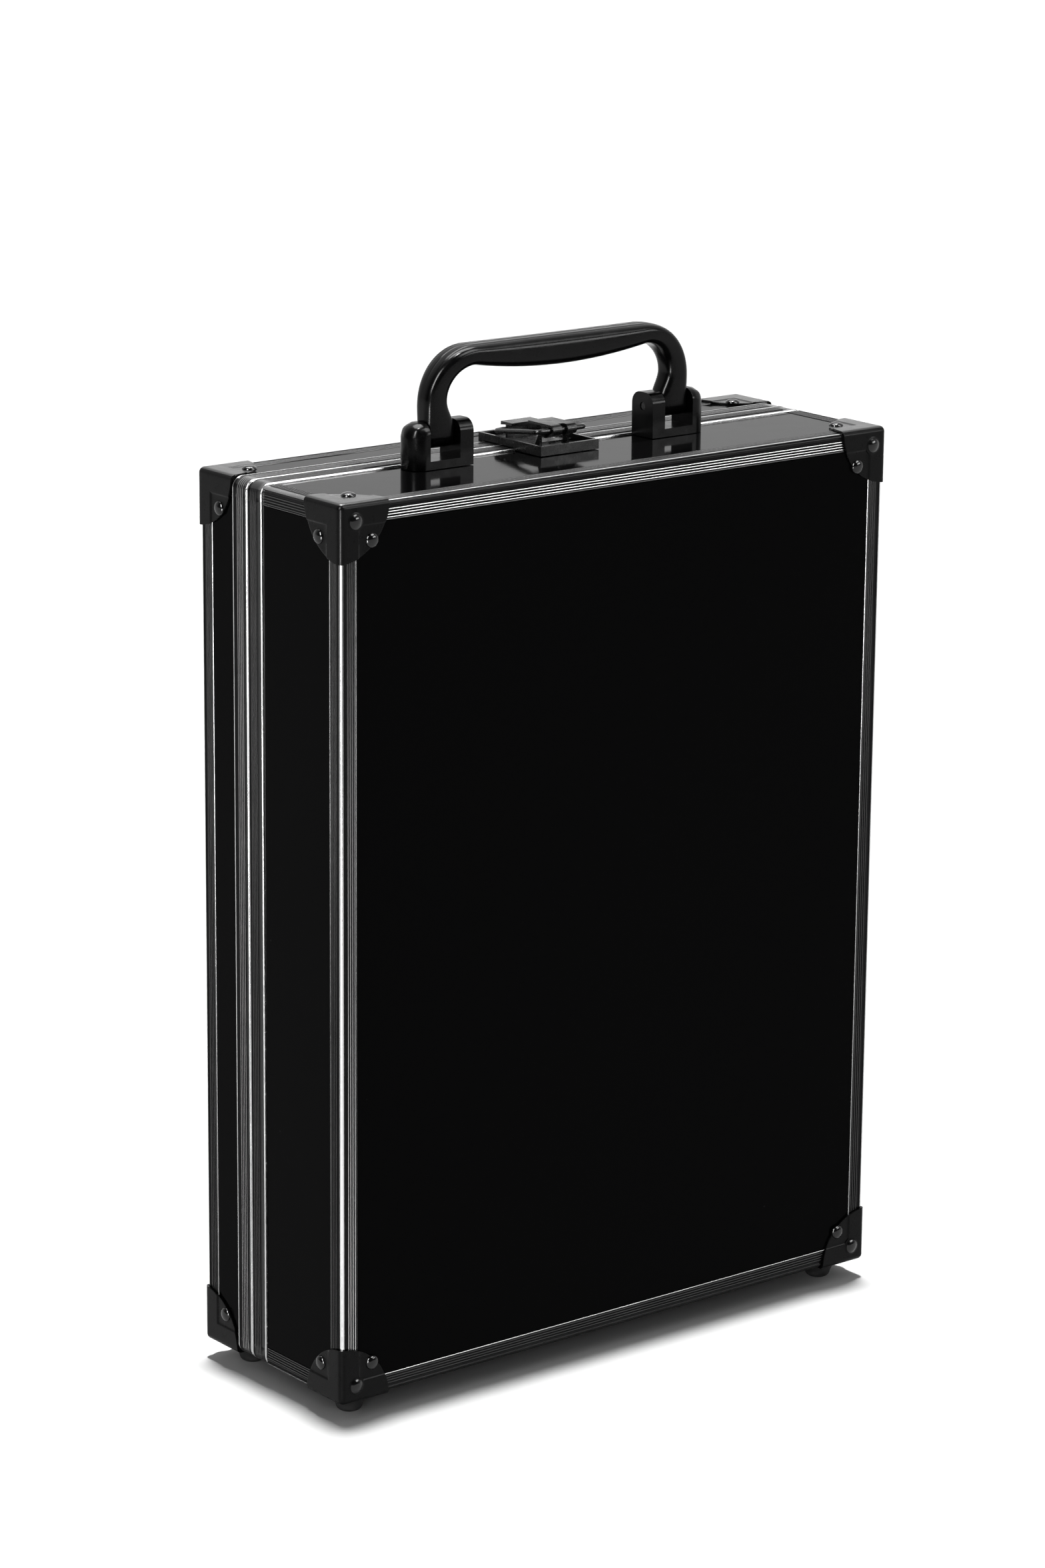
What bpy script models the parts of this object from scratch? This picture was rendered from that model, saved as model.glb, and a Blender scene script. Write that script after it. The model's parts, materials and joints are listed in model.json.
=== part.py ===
"""Attache case: framed panels, a hinged lid, a folding handle and a draw latch.

Metres, +Z up.  The case stands on four feet.  X runs across the width, the body is at -Y
and the lid at +Y, and the origin is on the floor under the middle of the case.
"""
import math

import bmesh
import bpy
from mathutils import Matrix, Vector

# Driving dimensions ------------------------------------------------------------------------
CASE_WIDTH = 0.298
CASE_DEPTH = 0.100
CASE_HEIGHT = 0.390
BODY_DEPTH = 0.0655             # front face to the parting plane; the lid is the rest
FOOT_HEIGHT = 0.010             # floor to the underside of the case

# Clearances
SEAM = 0.0003                   # between pieces that touch
PARTING_GAP = 0.0003
PIN_CLEARANCE = 0.0003          # radial, round every pin

# Shell
WALL = 0.0035                   # outer face to inner face of the panels and profiles
PANEL_RECESS = 0.0003
PROFILE_LEG = 0.0083
PROFILE_BEAD = 0.0012           # radius of the rounded outer corner
RIM_WIDTH = 0.0103
RIM_PROUD = 0.0007
RIM_CORNER = 0.005
LINING = 0.002
LINING_SETBACK = 0.0008         # how far the linings stop short of the parting plane

# Corner caps
CAP_REACH = 0.0242
CAP_PROUD = 0.0011
CAP_EDGE = 0.0025
CAP_BUMP_INSET = 0.0070
CAP_BUMP_RADIUS = 0.0038
CAP_BUMP_HEIGHT = 0.0012
RIVET_INSET = 0.0150
RIVET_RADIUS = 0.0032
RIVET_HEIGHT = 0.0011

# Feet
FOOT_INSET = 0.014
FOOT_TOP_RADIUS = 0.0085
FOOT_BOTTOM_RADIUS = 0.0066
FOOT_ROUNDING = 0.0034

# Handle; heights are above the top of the case, and the brackets back onto the body rim
HANDLE_HALF_WIDTH = 0.0720
HANDLE_TOP = 0.0507
HANDLE_CORNER = 0.025
GRIP_MID_THICKNESS = 0.0130
GRIP_END_THICKNESS = 0.0088
GRIP_DEPTH = 0.0150
LEG_WIDTH = 0.0112
LEG_DEPTH = 0.0110
FOOT_FLARE = 0.0040             # how much wider the leg grows towards its bracket
BRACKET_DEPTH = 0.0144
BRACKET_HEIGHT = 0.0197
BRACKET_FLOOR = 0.0036
BRACKET_INNER_EAR = 0.0070
BRACKET_OUTER_EAR = 0.0085
BRACKET_ROUNDING = 0.0058
HANDLE_PIN_HEIGHT = 0.0134
HANDLE_PIN_RADIUS = 0.0016
PIN_SETBACK = 0.0004           # how far a pin stops short of the faces it runs between

# Latch; heights are above the top of the case
LATCH_WIDTH = 0.0320
LATCH_BASE_DEPTH = 0.0289
LATCH_EAR_BACK = 0.0058         # lever pin to the back of the ear that carries it
LATCH_LUG_WALL = 0.0006
KEEPER_DEPTH = 0.0146
TRAY_HEIGHT = 0.0043
TRAY_WALL = 0.0014
TRAY_FLOOR = 0.0012
LEVER_WIDTH = 0.0132
LEVER_LENGTH = 0.0115
LEVER_THICKNESS = 0.0011
LEVER_PIN_SETBACK = 0.0197      # parting plane to the lever's pin
LEVER_PIN_HEIGHT = 0.0081
LEVER_PIN_RADIUS = 0.0010
BAIL_CRANK = 0.0038             # lever pin to the wire's pivot
BAIL_CRANK_ANGLE = math.radians(160)
BAIL_WIRE_RADIUS = 0.0011
BAIL_HALF_WIDTH = 0.0132
BAIL_CORNER = 0.0022
KNUCKLE_RADIUS = 0.0024
BAIL_BACK_HEIGHT = 0.0056       # the wire's back bar, above the case
KNUCKLE_GAP = 0.0030
EAR_THICKNESS = 0.0012
HOOK_WIDTH = 0.0164
HOOK_SETBACK = 0.0011           # keeper's front edge to the hook's
HOOK_HEIGHT = 0.0091
HOOK_THICKNESS = 0.0012
HOOK_LENGTH = 0.0078
HOOK_OVERHANG = 0.0021          # how far the hook reaches past the wire's centre
HOOK_LIP = 0.0004               # how far its back edge dips
LATCH_RIVET_RADIUS = 0.0024
LATCH_RIVET_HEIGHT = 0.0009
LATCH_RIVET_INSET = 0.0044      # rivet centres, in from the tray's ends
LATCH_RIVET_GAP = 0.0015        # rivets to the tray's side walls

# Hinges
HINGE_OFFSET = 0.085            # middle of the case to the middle of each hinge
HINGE_LENGTH = 0.042
HINGE_LEAF = 0.0098
HINGE_LEAF_THICKNESS = 0.0012
HINGE_BARREL_RADIUS = 0.0026
HINGE_PIN_RADIUS = 0.0010

# Derived planes ----------------------------------------------------------------------------
HALF_WIDTH = CASE_WIDTH / 2
FRONT = -CASE_DEPTH / 2
BACK = CASE_DEPTH / 2
BOTTOM = FOOT_HEIGHT
TOP = FOOT_HEIGHT + CASE_HEIGHT
PARTING = FRONT + BODY_DEPTH
LEG_END = PROFILE_LEG + SEAM    # from a corner to where the panels and profiles start
BODY_MOUTH = PARTING - PARTING_GAP / 2
LID_MOUTH = PARTING + PARTING_GAP / 2
BODY_RIM_FRONT = BODY_MOUTH - RIM_WIDTH
LID_RIM_BACK = LID_MOUTH + RIM_WIDTH

SIDES = {"left": -1, "right": 1}
ENDS = {"bottom": -1, "top": 1}
X = Vector((1, 0, 0))
Y = Vector((0, 1, 0))
Z = Vector((0, 0, 1))


# Scene helpers -----------------------------------------------------------------------------
def new_collection(name):
    collection = bpy.data.collections.new(name)
    bpy.context.scene.collection.children.link(collection)
    return collection


for old in list(bpy.data.objects):
    bpy.data.objects.remove(old, do_unlink=True)
PARTS = new_collection("attache_case")
CUTTERS = new_collection("cutters")


def material(name, color, roughness, metallic):
    mat = bpy.data.materials.new(name)
    mat.use_nodes = True
    shader = mat.node_tree.nodes["Principled BSDF"]
    shader.inputs["Base Color"].default_value = (*color, 1)
    shader.inputs["Roughness"].default_value = roughness
    shader.inputs["Metallic"].default_value = metallic
    return mat


GLOSS_PANEL = material("gloss_panel", (0.010, 0.010, 0.011), 0.12, 0.0)
BLACK_ALUMINIUM = material("black_aluminium", (0.030, 0.030, 0.032), 0.28, 1.0)
BLACK_STEEL = material("black_steel", (0.024, 0.024, 0.025), 0.32, 1.0)
HANDLE_PLASTIC = material("handle_plastic", (0.018, 0.018, 0.019), 0.35, 0.0)
FOOT_RUBBER = material("foot_rubber", (0.040, 0.040, 0.041), 0.75, 0.0)
LINING_FELT = material("lining_felt", (0.022, 0.022, 0.024), 0.95, 0.0)


def add_part(name, data, mat, parent=None, smooth=False):
    """Link a mesh or curve to the model as one named piece."""
    data.materials.clear()
    data.materials.append(mat)
    obj = bpy.data.objects.new(name, data)
    PARTS.objects.link(obj)
    obj.parent = parent
    if smooth:
        data.shade_smooth()
        data.set_sharp_from_angle(angle=math.radians(35))
    return obj


def add_cutter(name, data, parent=None):
    obj = bpy.data.objects.new(name, data)
    CUTTERS.objects.link(obj)
    obj.parent = parent
    obj.hide_render = True
    obj.display_type = "WIRE"
    return obj


def boolean(obj, tool, operation):
    mod = obj.modifiers.new(tool.name, "BOOLEAN")
    mod.operation = operation
    mod.object = tool
    mod.solver = "EXACT"


def bevel(obj, width, segments, limit="ANGLE"):
    mod = obj.modifiers.new("round", "BEVEL")
    mod.width = width
    mod.segments = segments
    mod.limit_method = limit
    mod.angle_limit = math.radians(40)
    return mod


def pivot(name, location):
    """An empty on a joint's axis; the moving pieces are parented to it."""
    empty = bpy.data.objects.new(name, None)
    empty.location = location
    empty.empty_display_size = 0.01
    PARTS.objects.link(empty)
    return empty


# Mesh and curve builders -------------------------------------------------------------------
def block_mesh(name, low, high):
    """A box between two corners, centred on its own origin; returns the mesh and centre."""
    low, high = Vector(low), Vector(high)
    bm = bmesh.new()
    bmesh.ops.create_cube(bm, size=1)
    bmesh.ops.scale(bm, vec=high - low, verts=bm.verts)
    mesh = bpy.data.meshes.new(name)
    bm.to_mesh(mesh)
    bm.free()
    return mesh, (low + high) / 2


def add_block(name, low, high, mat, parent=None):
    mesh, centre = block_mesh(name, low, high)
    obj = add_part(name, mesh, mat, parent)
    obj.location = centre - (parent.location if parent else Vector())
    return obj


def block_cutter(name, low, high, parent=None):
    mesh, centre = block_mesh(name, low, high)
    tool = add_cutter(name, mesh, parent)
    tool.location = centre
    return tool


def cylinder_mesh(name, radius, length, segments=24):
    """A cylinder along its own X axis, centred."""
    bm = bmesh.new()
    bmesh.ops.create_cone(bm, cap_ends=True, segments=segments, radius1=radius, radius2=radius,
                          depth=length, matrix=Matrix.Rotation(math.pi / 2, 4, "Y"))
    mesh = bpy.data.meshes.new(name)
    bm.to_mesh(mesh)
    bm.free()
    return mesh


def cylinder_cutter(name, radius, length, location, parent=None):
    tool = add_cutter(name, cylinder_mesh(name, radius, length), parent)
    tool.location = location
    return tool


def arc(centre, radius, start, end, steps):
    """Points on an arc in the outline's plane, angles in degrees."""
    angles = [math.radians(start + (end - start) * i / steps) for i in range(steps + 1)]
    return [(centre[0] + radius * math.cos(a), centre[1] + radius * math.sin(a)) for a in angles]


def rounded_rectangle(half_x, half_y, radius, steps=5):
    points = []
    for sx, sy, start in ((1, 1, 0), (-1, 1, 90), (-1, -1, 180), (1, -1, 270)):
        centre = (sx * (half_x - radius), sy * (half_y - radius))
        points += arc(centre, radius, start, start + 90, steps)
    return points


def outline_curve(name, outlines, thickness):
    """A flat outline, with holes if there are more, extruded along its own Z axis."""
    curve = bpy.data.curves.new(name, "CURVE")
    curve.dimensions = "2D"
    curve.fill_mode = "BOTH"
    curve.extrude = thickness / 2
    for outline in outlines:
        spline = curve.splines.new("POLY")
        spline.points.add(len(outline) - 1)
        for point, (u, v) in zip(spline.points, outline):
            point.co = (u, v, 0, 1)
        spline.use_cyclic_u = True
    return curve


def shift_mesh(mesh, offset):
    """Move a mesh within its own frame."""
    mesh.transform(Matrix.Translation(offset))


def outline_mesh(name, outlines, thickness):
    """The same extrusion as a welded mesh, for pieces that take Booleans."""
    curve = outline_curve(name, outlines, thickness)
    guide = add_cutter(name + "_outline", curve)
    bpy.context.view_layer.update()
    evaluated = guide.evaluated_get(bpy.context.evaluated_depsgraph_get())
    mesh = bpy.data.meshes.new_from_object(evaluated)
    bm = bmesh.new()
    bm.from_mesh(mesh)
    bmesh.ops.remove_doubles(bm, verts=bm.verts, dist=0.00001)
    bmesh.ops.recalc_face_normals(bm, faces=bm.faces)
    bm.to_mesh(mesh)
    bm.free()
    bpy.data.objects.remove(guide)
    bpy.data.curves.remove(curve)
    mesh.name = name
    return mesh


def dome_mesh(name, domes, segments=14, rings=3):
    """Low domes, each (centre, outward normal, radius, height), sunk a little at the back."""
    bm = bmesh.new()
    for centre, normal, radius, height in domes:
        turn = normal.to_track_quat("Z", "Y").to_matrix().to_4x4()
        size = Matrix.Diagonal((radius, radius, height, 1))
        place = Matrix.Translation(centre) @ turn @ size
        bmesh.ops.create_uvsphere(bm, u_segments=segments, v_segments=2 * rings, radius=1,
                                  matrix=place)
    mesh = bpy.data.meshes.new(name)
    bm.to_mesh(mesh)
    bm.free()
    return mesh


def half_domes(name, domes, sink):
    """Domes with a flat back, so that none pokes through the sheet it stands on."""
    mesh = dome_mesh(name, domes)
    bm = bmesh.new()
    bm.from_mesh(mesh)
    for vert in bm.verts:
        for place, face, radius, height in domes:
            offset = vert.co - place
            depth = offset.dot(face)
            if offset.length < radius * 1.01 and depth < -sink / 2:
                vert.co += face * (-sink / 2 - depth)
    bmesh.ops.remove_doubles(bm, verts=bm.verts, dist=0.00001)
    bm.to_mesh(mesh)
    bm.free()
    return mesh


def frame_matrix(location, x_axis, y_axis):
    """A placement whose local x and y axes point the given ways, kept right-handed."""
    turn = Matrix((x_axis, y_axis, x_axis.cross(y_axis))).transposed().to_4x4()
    return Matrix.Translation(location) @ turn


# Panels, rims and linings ------------------------------------------------------------------
def build_panels(prefix, y_low, y_high, face_name, face_y, face_inward):
    """The large face panel and the four narrow panels round it, for the body or the lid."""
    x_in = HALF_WIDTH - LEG_END
    z_low, z_high = BOTTOM + LEG_END, TOP - LEG_END
    face_ys = sorted((face_y + face_inward * PANEL_RECESS, face_y + face_inward * WALL))
    add_block(f"{prefix}_{face_name}_panel", (-x_in, face_ys[0], z_low),
              (x_in, face_ys[1], z_high), GLOSS_PANEL)
    for side, sign in SIDES.items():
        xs = sorted((sign * (HALF_WIDTH - PANEL_RECESS), sign * (HALF_WIDTH - WALL)))
        add_block(f"{prefix}_{side}_panel", (xs[0], y_low, z_low), (xs[1], y_high, z_high),
                  GLOSS_PANEL)
    for end, low, high in (("bottom", BOTTOM + PANEL_RECESS, BOTTOM + WALL),
                           ("top", TOP - WALL, TOP - PANEL_RECESS)):
        add_block(f"{prefix}_{end}_panel", (-x_in, y_low, low), (x_in, y_high, high), GLOSS_PANEL)


def build_rim(name, y_low, y_high, parent):
    """The closing band that runs all round the mouth, proud of the panels."""
    half_z = CASE_HEIGHT / 2
    outer = rounded_rectangle(HALF_WIDTH + RIM_PROUD, half_z + RIM_PROUD, RIM_CORNER)
    x, z = HALF_WIDTH - WALL, half_z - WALL
    inner = [(x, z), (-x, z), (-x, -z), (x, -z)]
    rim = add_part(name, outline_curve(name, [outer, inner], y_high - y_low), BLACK_ALUMINIUM,
                   parent)
    middle = Vector((0, (y_low + y_high) / 2, (BOTTOM + TOP) / 2))
    rim.matrix_basis = frame_matrix(middle - (parent.location if parent else Vector()), X, Z)
    return rim


def build_lining(name, face_y, mouth_y, parent):
    """A felt tray inside the shell, open at the mouth."""
    low_y, high_y = sorted((face_y, mouth_y))
    half_x = HALF_WIDTH - WALL - SEAM
    mesh, centre = block_mesh(name, (-half_x, low_y, BOTTOM + WALL + SEAM),
                              (half_x, high_y, TOP - WALL - SEAM))
    bm = bmesh.new()
    bm.from_mesh(mesh)
    mouth_side = 1 if mouth_y > face_y else -1
    lids = [face for face in bm.faces if face.normal.y * mouth_side > 0.9]
    bmesh.ops.delete(bm, geom=lids, context="FACES_ONLY")
    bm.to_mesh(mesh)
    bm.free()
    lining = add_part(name, mesh, LINING_FELT, parent)
    lining.location = centre - (parent.location if parent else Vector())
    shell = lining.modifiers.new("felt", "SOLIDIFY")
    shell.thickness = LINING
    shell.offset = -1
    shell.use_even_offset = True
    return lining


# Edge profiles -----------------------------------------------------------------------------
def profile_outline():
    """An equal-legged angle whose outer corner is at the origin, rounded over."""
    corner = arc((PROFILE_BEAD, PROFILE_BEAD), PROFILE_BEAD, 270, 180, 4)
    return corner + [(0, PROFILE_LEG), (WALL, PROFILE_LEG), (WALL, WALL), (PROFILE_LEG, WALL),
                     (PROFILE_LEG, 0)]


def add_profile(name, corner, inward, along, low, high, parent=None):
    """A length of edge profile. corner is a point on the edge, inward the two leg directions."""
    curve = outline_curve(name, [profile_outline()], high - low)
    obj = add_part(name, curve, BLACK_ALUMINIUM, parent)
    first, second = inward
    if first.cross(second).dot(along) < 0:
        first, second = second, first
    middle = corner + along * ((low + high) / 2 - corner.dot(along))
    obj.matrix_basis = frame_matrix(middle - (parent.location if parent else Vector()),
                                    first, second)


def build_profiles(prefix, face_name, face_y, face_inward, edge_low, edge_high, parent=None):
    """Four profiles round the large face, and four along the depth edges."""
    inward_y = Y * face_inward
    for side, sx in SIDES.items():
        corner = Vector((sx * HALF_WIDTH, face_y, 0))
        add_profile(f"{prefix}_{face_name}_{side}_profile", corner, (X * -sx, inward_y), Z,
                    BOTTOM + LEG_END, TOP - LEG_END, parent)
    for end, sz in ENDS.items():
        corner = Vector((0, face_y, TOP if sz > 0 else BOTTOM))
        add_profile(f"{prefix}_{face_name}_{end}_profile", corner, (Z * -sz, inward_y), X,
                    LEG_END - HALF_WIDTH, HALF_WIDTH - LEG_END, parent)
        for side, sx in SIDES.items():
            corner = Vector((sx * HALF_WIDTH, 0, TOP if sz > 0 else BOTTOM))
            add_profile(f"{prefix}_{end}_{side}_profile", corner, (X * -sx, Z * -sz), Y,
                        edge_low, edge_high, parent)


# Corner caps and feet ----------------------------------------------------------------------
def on_face(face, inset):
    """A point on the cap's outer skin, the same distance in from both edges of a face."""
    return Vector(tuple(-CAP_PROUD if n else inset for n in face))


def add_cap(name, corner, sx, sz, inward_y, reach, parent=None):
    """A pressed corner: three quarter-round flanges, with rivets and a domed boss.

    In its own frame the corner is the origin, the case fills +x +y +z, and +z is the depth.
    """
    first, second = X * -sx, Z * -sz
    floor_normal = Vector((0, -1, 0))
    if first.cross(second).dot(Y * inward_y) < 0:
        first, second = second, first
        floor_normal = Vector((-1, 0, 0))
    outside = -CAP_PROUD
    mesh, centre = block_mesh(name, (outside,) * 3, (reach + CAP_EDGE,) * 3)
    shift_mesh(mesh, centre)
    cap = add_part(name, mesh, BLACK_STEEL, parent, smooth=True)
    cap.matrix_basis = frame_matrix(corner - (parent.location if parent else Vector()),
                                    first, second)
    bevel(cap, CAP_EDGE, 3)

    bm = bmesh.new()
    bmesh.ops.create_uvsphere(bm, u_segments=48, v_segments=24, radius=reach)
    ball = bpy.data.meshes.new(name + "_reach")
    bm.to_mesh(ball)
    bm.free()
    boolean(cap, add_cutter(name + "_reach", ball, cap), "INTERSECT")
    hollow = block_cutter(name + "_hollow", (-SEAM,) * 3, (2 * reach,) * 3, cap)
    boolean(cap, hollow, "DIFFERENCE")

    faces = [Vector((-1, 0, 0)), Vector((0, -1, 0)), Vector((0, 0, -1))]
    if sz < 0:                                  # a foot takes the rivet's place underneath
        faces.remove(floor_normal)
    domes = [(on_face(face, RIVET_INSET), face, RIVET_RADIUS, RIVET_HEIGHT) for face in faces]
    domes.append((on_face(faces[-1], CAP_BUMP_INSET), faces[-1], CAP_BUMP_RADIUS,
                  CAP_BUMP_HEIGHT))
    thickness = CAP_PROUD - SEAM
    rivets = add_cutter(name + "_rivets", half_domes(name + "_rivets", domes, thickness), cap)
    boolean(cap, rivets, "UNION")
    return cap


def foot_mesh(name):
    """A turned rubber foot, its top at z = 0 and its tread below."""
    height = FOOT_HEIGHT - CAP_PROUD - SEAM
    side = [(FOOT_TOP_RADIUS, 0)]
    centre = (FOOT_BOTTOM_RADIUS - FOOT_ROUNDING, FOOT_ROUNDING - height)
    tread = arc(centre, FOOT_ROUNDING, 0, -90, 4)
    bm = bmesh.new()
    outline = [(0, 0)] + side + tread + [(0, -height)]
    verts = [bm.verts.new((x, 0, z)) for x, z in outline]
    for first, second in zip(verts, verts[1:]):
        bm.edges.new((first, second))
    mesh = bpy.data.meshes.new(name)
    bm.to_mesh(mesh)
    bm.free()
    return mesh


def add_foot(name, x, y, mesh, parent=None):
    foot = add_part(name, mesh, FOOT_RUBBER, parent, smooth=True)
    foot.location = Vector((x, y, BOTTOM - CAP_PROUD - SEAM))
    foot.location -= parent.location if parent else Vector()
    turn = foot.modifiers.new("turn", "SCREW")
    turn.steps = 24
    turn.render_steps = 24
    turn.use_merge_vertices = True
    turn.merge_threshold = 0.0001


# Lid pivot, shell --------------------------------------------------------------------------
HINGE_LEAF_TOP = BOTTOM - RIM_PROUD - SEAM
HINGE_AXIS_Z = HINGE_LEAF_TOP - HINGE_BARREL_RADIUS
LID_PIVOT = pivot("lid_pivot", (0, PARTING, HINGE_AXIS_Z))


def build_shell():
    build_panels("body", FRONT + LEG_END, BODY_RIM_FRONT - SEAM, "front", FRONT, 1)
    build_panels("lid", LID_RIM_BACK + SEAM, BACK - LEG_END, "back", BACK, -1)
    for name in ("lid_back_panel", "lid_left_panel", "lid_right_panel", "lid_bottom_panel",
                 "lid_top_panel"):
        attach(bpy.data.objects[name], LID_PIVOT)
    build_rim("body_rim", BODY_RIM_FRONT, BODY_MOUTH, None)
    build_rim("lid_rim", LID_MOUTH, LID_RIM_BACK, LID_PIVOT)
    build_lining("body_lining", FRONT + WALL + SEAM, BODY_MOUTH - LINING_SETBACK, None)
    build_lining("lid_lining", BACK - WALL - SEAM, LID_MOUTH + LINING_SETBACK, LID_PIVOT)
    build_profiles("body", "front", FRONT, 1, FRONT + LEG_END, BODY_RIM_FRONT - SEAM)
    build_profiles("lid", "back", BACK, -1, LID_RIM_BACK + SEAM, BACK - LEG_END, LID_PIVOT)

    lid_reach = min(CAP_REACH, BACK - LID_RIM_BACK - SEAM)
    tread = foot_mesh("foot")
    for end, sz in ENDS.items():
        z = TOP if sz > 0 else BOTTOM
        for side, sx in SIDES.items():
            add_cap(f"body_{end}_{side}_cap", Vector((sx * HALF_WIDTH, FRONT, z)), sx, sz, 1,
                    CAP_REACH)
            add_cap(f"lid_{end}_{side}_cap", Vector((sx * HALF_WIDTH, BACK, z)), sx, sz, -1,
                    lid_reach, LID_PIVOT)
    for side, sx in SIDES.items():
        x = sx * (HALF_WIDTH - FOOT_INSET)
        add_foot(f"body_{side}_foot", x, FRONT + FOOT_INSET, tread)
        add_foot(f"lid_{side}_foot", x, BACK - FOOT_INSET, tread, LID_PIVOT)


def attach(obj, parent):
    """Parent a piece that was placed in the world."""
    obj.parent = parent
    obj.location -= parent.location


# Handle ------------------------------------------------------------------------------------
BRACKET_BACK = BODY_RIM_FRONT - SEAM
BRACKET_MIDDLE = BRACKET_BACK - BRACKET_DEPTH / 2
HANDLE_FOOT_WIDTH = LEG_WIDTH + FOOT_FLARE
SLOT_INNER = HANDLE_HALF_WIDTH + SEAM - HANDLE_FOOT_WIDTH - 2 * SEAM
SLOT_OUTER = HANDLE_HALF_WIDTH + SEAM
BRACKET_INNER = SLOT_INNER - BRACKET_INNER_EAR
BRACKET_OUTER = SLOT_OUTER + BRACKET_OUTER_EAR
HANDLE_PIVOT = pivot("handle_pivot", (0, BRACKET_MIDDLE, TOP + HANDLE_PIN_HEIGHT))


def bracket_mesh():
    """The outer block of a bracket for the +X side, with weights on its rounded edges."""
    low = (BRACKET_INNER, -BRACKET_DEPTH / 2, 0)
    high = (BRACKET_OUTER, BRACKET_DEPTH / 2, BRACKET_HEIGHT)
    mesh, centre = block_mesh("bracket", low, high)
    shift_mesh(mesh, centre)
    bm = bmesh.new()
    bm.from_mesh(mesh)
    weights = bm.edges.layers.float.new("bevel_weight_edge")
    for edge in bm.edges:
        middle = (edge.verts[0].co + edge.verts[1].co) / 2
        on_top = middle.z > BRACKET_HEIGHT * 0.9
        on_outside = middle.x > BRACKET_OUTER - SEAM
        on_inside = middle.x < BRACKET_INNER + SEAM
        upright = abs(middle.z - BRACKET_HEIGHT / 2) < SEAM
        if (on_top and not on_inside) or (on_outside and upright):
            edge[weights] = 1
    bm.to_mesh(mesh)
    bm.free()
    return mesh


def build_brackets():
    """Two forked brackets on the top panel, each with the pin that its handle leg turns on."""
    block = bracket_mesh()
    middle = (BRACKET_INNER + BRACKET_OUTER) / 2
    span = BRACKET_OUTER - BRACKET_INNER
    for side, sx in SIDES.items():
        bracket = add_part(f"handle_{side}_bracket", block, HANDLE_PLASTIC, smooth=True)
        bracket.location = (0, BRACKET_MIDDLE, TOP)
        bracket.rotation_euler.z = 0 if sx > 0 else math.pi
        bevel(bracket, BRACKET_ROUNDING, 4, "WEIGHT")
        slot = block_cutter(f"handle_{side}_slot", (SLOT_INNER, -BRACKET_DEPTH, BRACKET_FLOOR),
                            (SLOT_OUTER, BRACKET_DEPTH, 2 * BRACKET_HEIGHT), bracket)
        boolean(bracket, slot, "DIFFERENCE")
        bore = cylinder_cutter(f"handle_{side}_bore", HANDLE_PIN_RADIUS + PIN_CLEARANCE, 2 * span,
                               (middle, 0, HANDLE_PIN_HEIGHT), bracket)
        boolean(bracket, bore, "DIFFERENCE")
        pin = add_part(f"handle_{side}_pin",
                       cylinder_mesh("handle_pin", HANDLE_PIN_RADIUS, span - 2 * PIN_SETBACK),
                       BLACK_STEEL, smooth=True)
        pin.location = (sx * middle, BRACKET_MIDDLE, TOP + HANDLE_PIN_HEIGHT)


def handle_stations():
    """Outer point, inner point and depth of each section of half the handle.

    It runs from the middle of the grip, round the corner and down to the foot on the pin.
    """
    corner = Vector((HANDLE_HALF_WIDTH - HANDLE_CORNER, HANDLE_TOP - HANDLE_CORNER))
    inner_radius = HANDLE_CORNER - LEG_WIDTH
    inner_corner = Vector((HANDLE_HALF_WIDTH - LEG_WIDTH - inner_radius,
                           HANDLE_TOP - GRIP_END_THICKNESS - inner_radius))
    stations = []
    steps = 6
    for i in range(steps):
        t = i / steps
        x = corner.x * t
        belly = GRIP_MID_THICKNESS + (GRIP_END_THICKNESS - GRIP_MID_THICKNESS) * t * t
        stations.append(((x, HANDLE_TOP), (x, HANDLE_TOP - belly), GRIP_DEPTH))
    steps = 7
    for i in range(steps + 1):
        t = i / steps
        angle = math.pi / 2 * (1 - t)
        around = Vector((math.cos(angle), math.sin(angle)))
        depth = GRIP_DEPTH + (LEG_DEPTH - GRIP_DEPTH) * t
        stations.append((corner + around * HANDLE_CORNER, inner_corner + around * inner_radius,
                         depth))
    foot_radius = LEG_DEPTH / 2
    flare_low = HANDLE_PIN_HEIGHT + foot_radius / 2
    flare_high = inner_corner.y
    steps = 4
    for i in range(1, steps + 1):
        t = i / steps
        z = flare_high + (flare_low - flare_high) * t
        flare = FOOT_FLARE * t * t * (3 - 2 * t)
        outer_z = corner.y + (flare_low - corner.y) * t
        stations.append(((HANDLE_HALF_WIDTH, outer_z),
                         (HANDLE_HALF_WIDTH - LEG_WIDTH - flare, z), LEG_DEPTH))
    for angle in (0, 30, 55, 78):
        z = HANDLE_PIN_HEIGHT - foot_radius * math.sin(math.radians(angle))
        depth = 2 * foot_radius * math.cos(math.radians(angle))
        stations.append(((HANDLE_HALF_WIDTH, z),
                         (HANDLE_HALF_WIDTH - HANDLE_FOOT_WIDTH, z), depth))
    return stations


def section_ring(outer, inner, depth, points=16):
    """A rounded section between two points of the XZ plane."""
    outer, inner = Vector(outer), Vector(inner)
    middle = (outer + inner) / 2
    half = (outer - inner) / 2
    ring = []
    for i in range(points):
        angle = 2 * math.pi * (i + 0.5) / points
        c, s = math.cos(angle), math.sin(angle)
        across = math.copysign(abs(c) ** 0.6, c)
        along = math.copysign(abs(s) ** 0.6, s)
        place = middle + half * across
        ring.append((place.x, along * depth / 2, place.y))
    return ring


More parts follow.
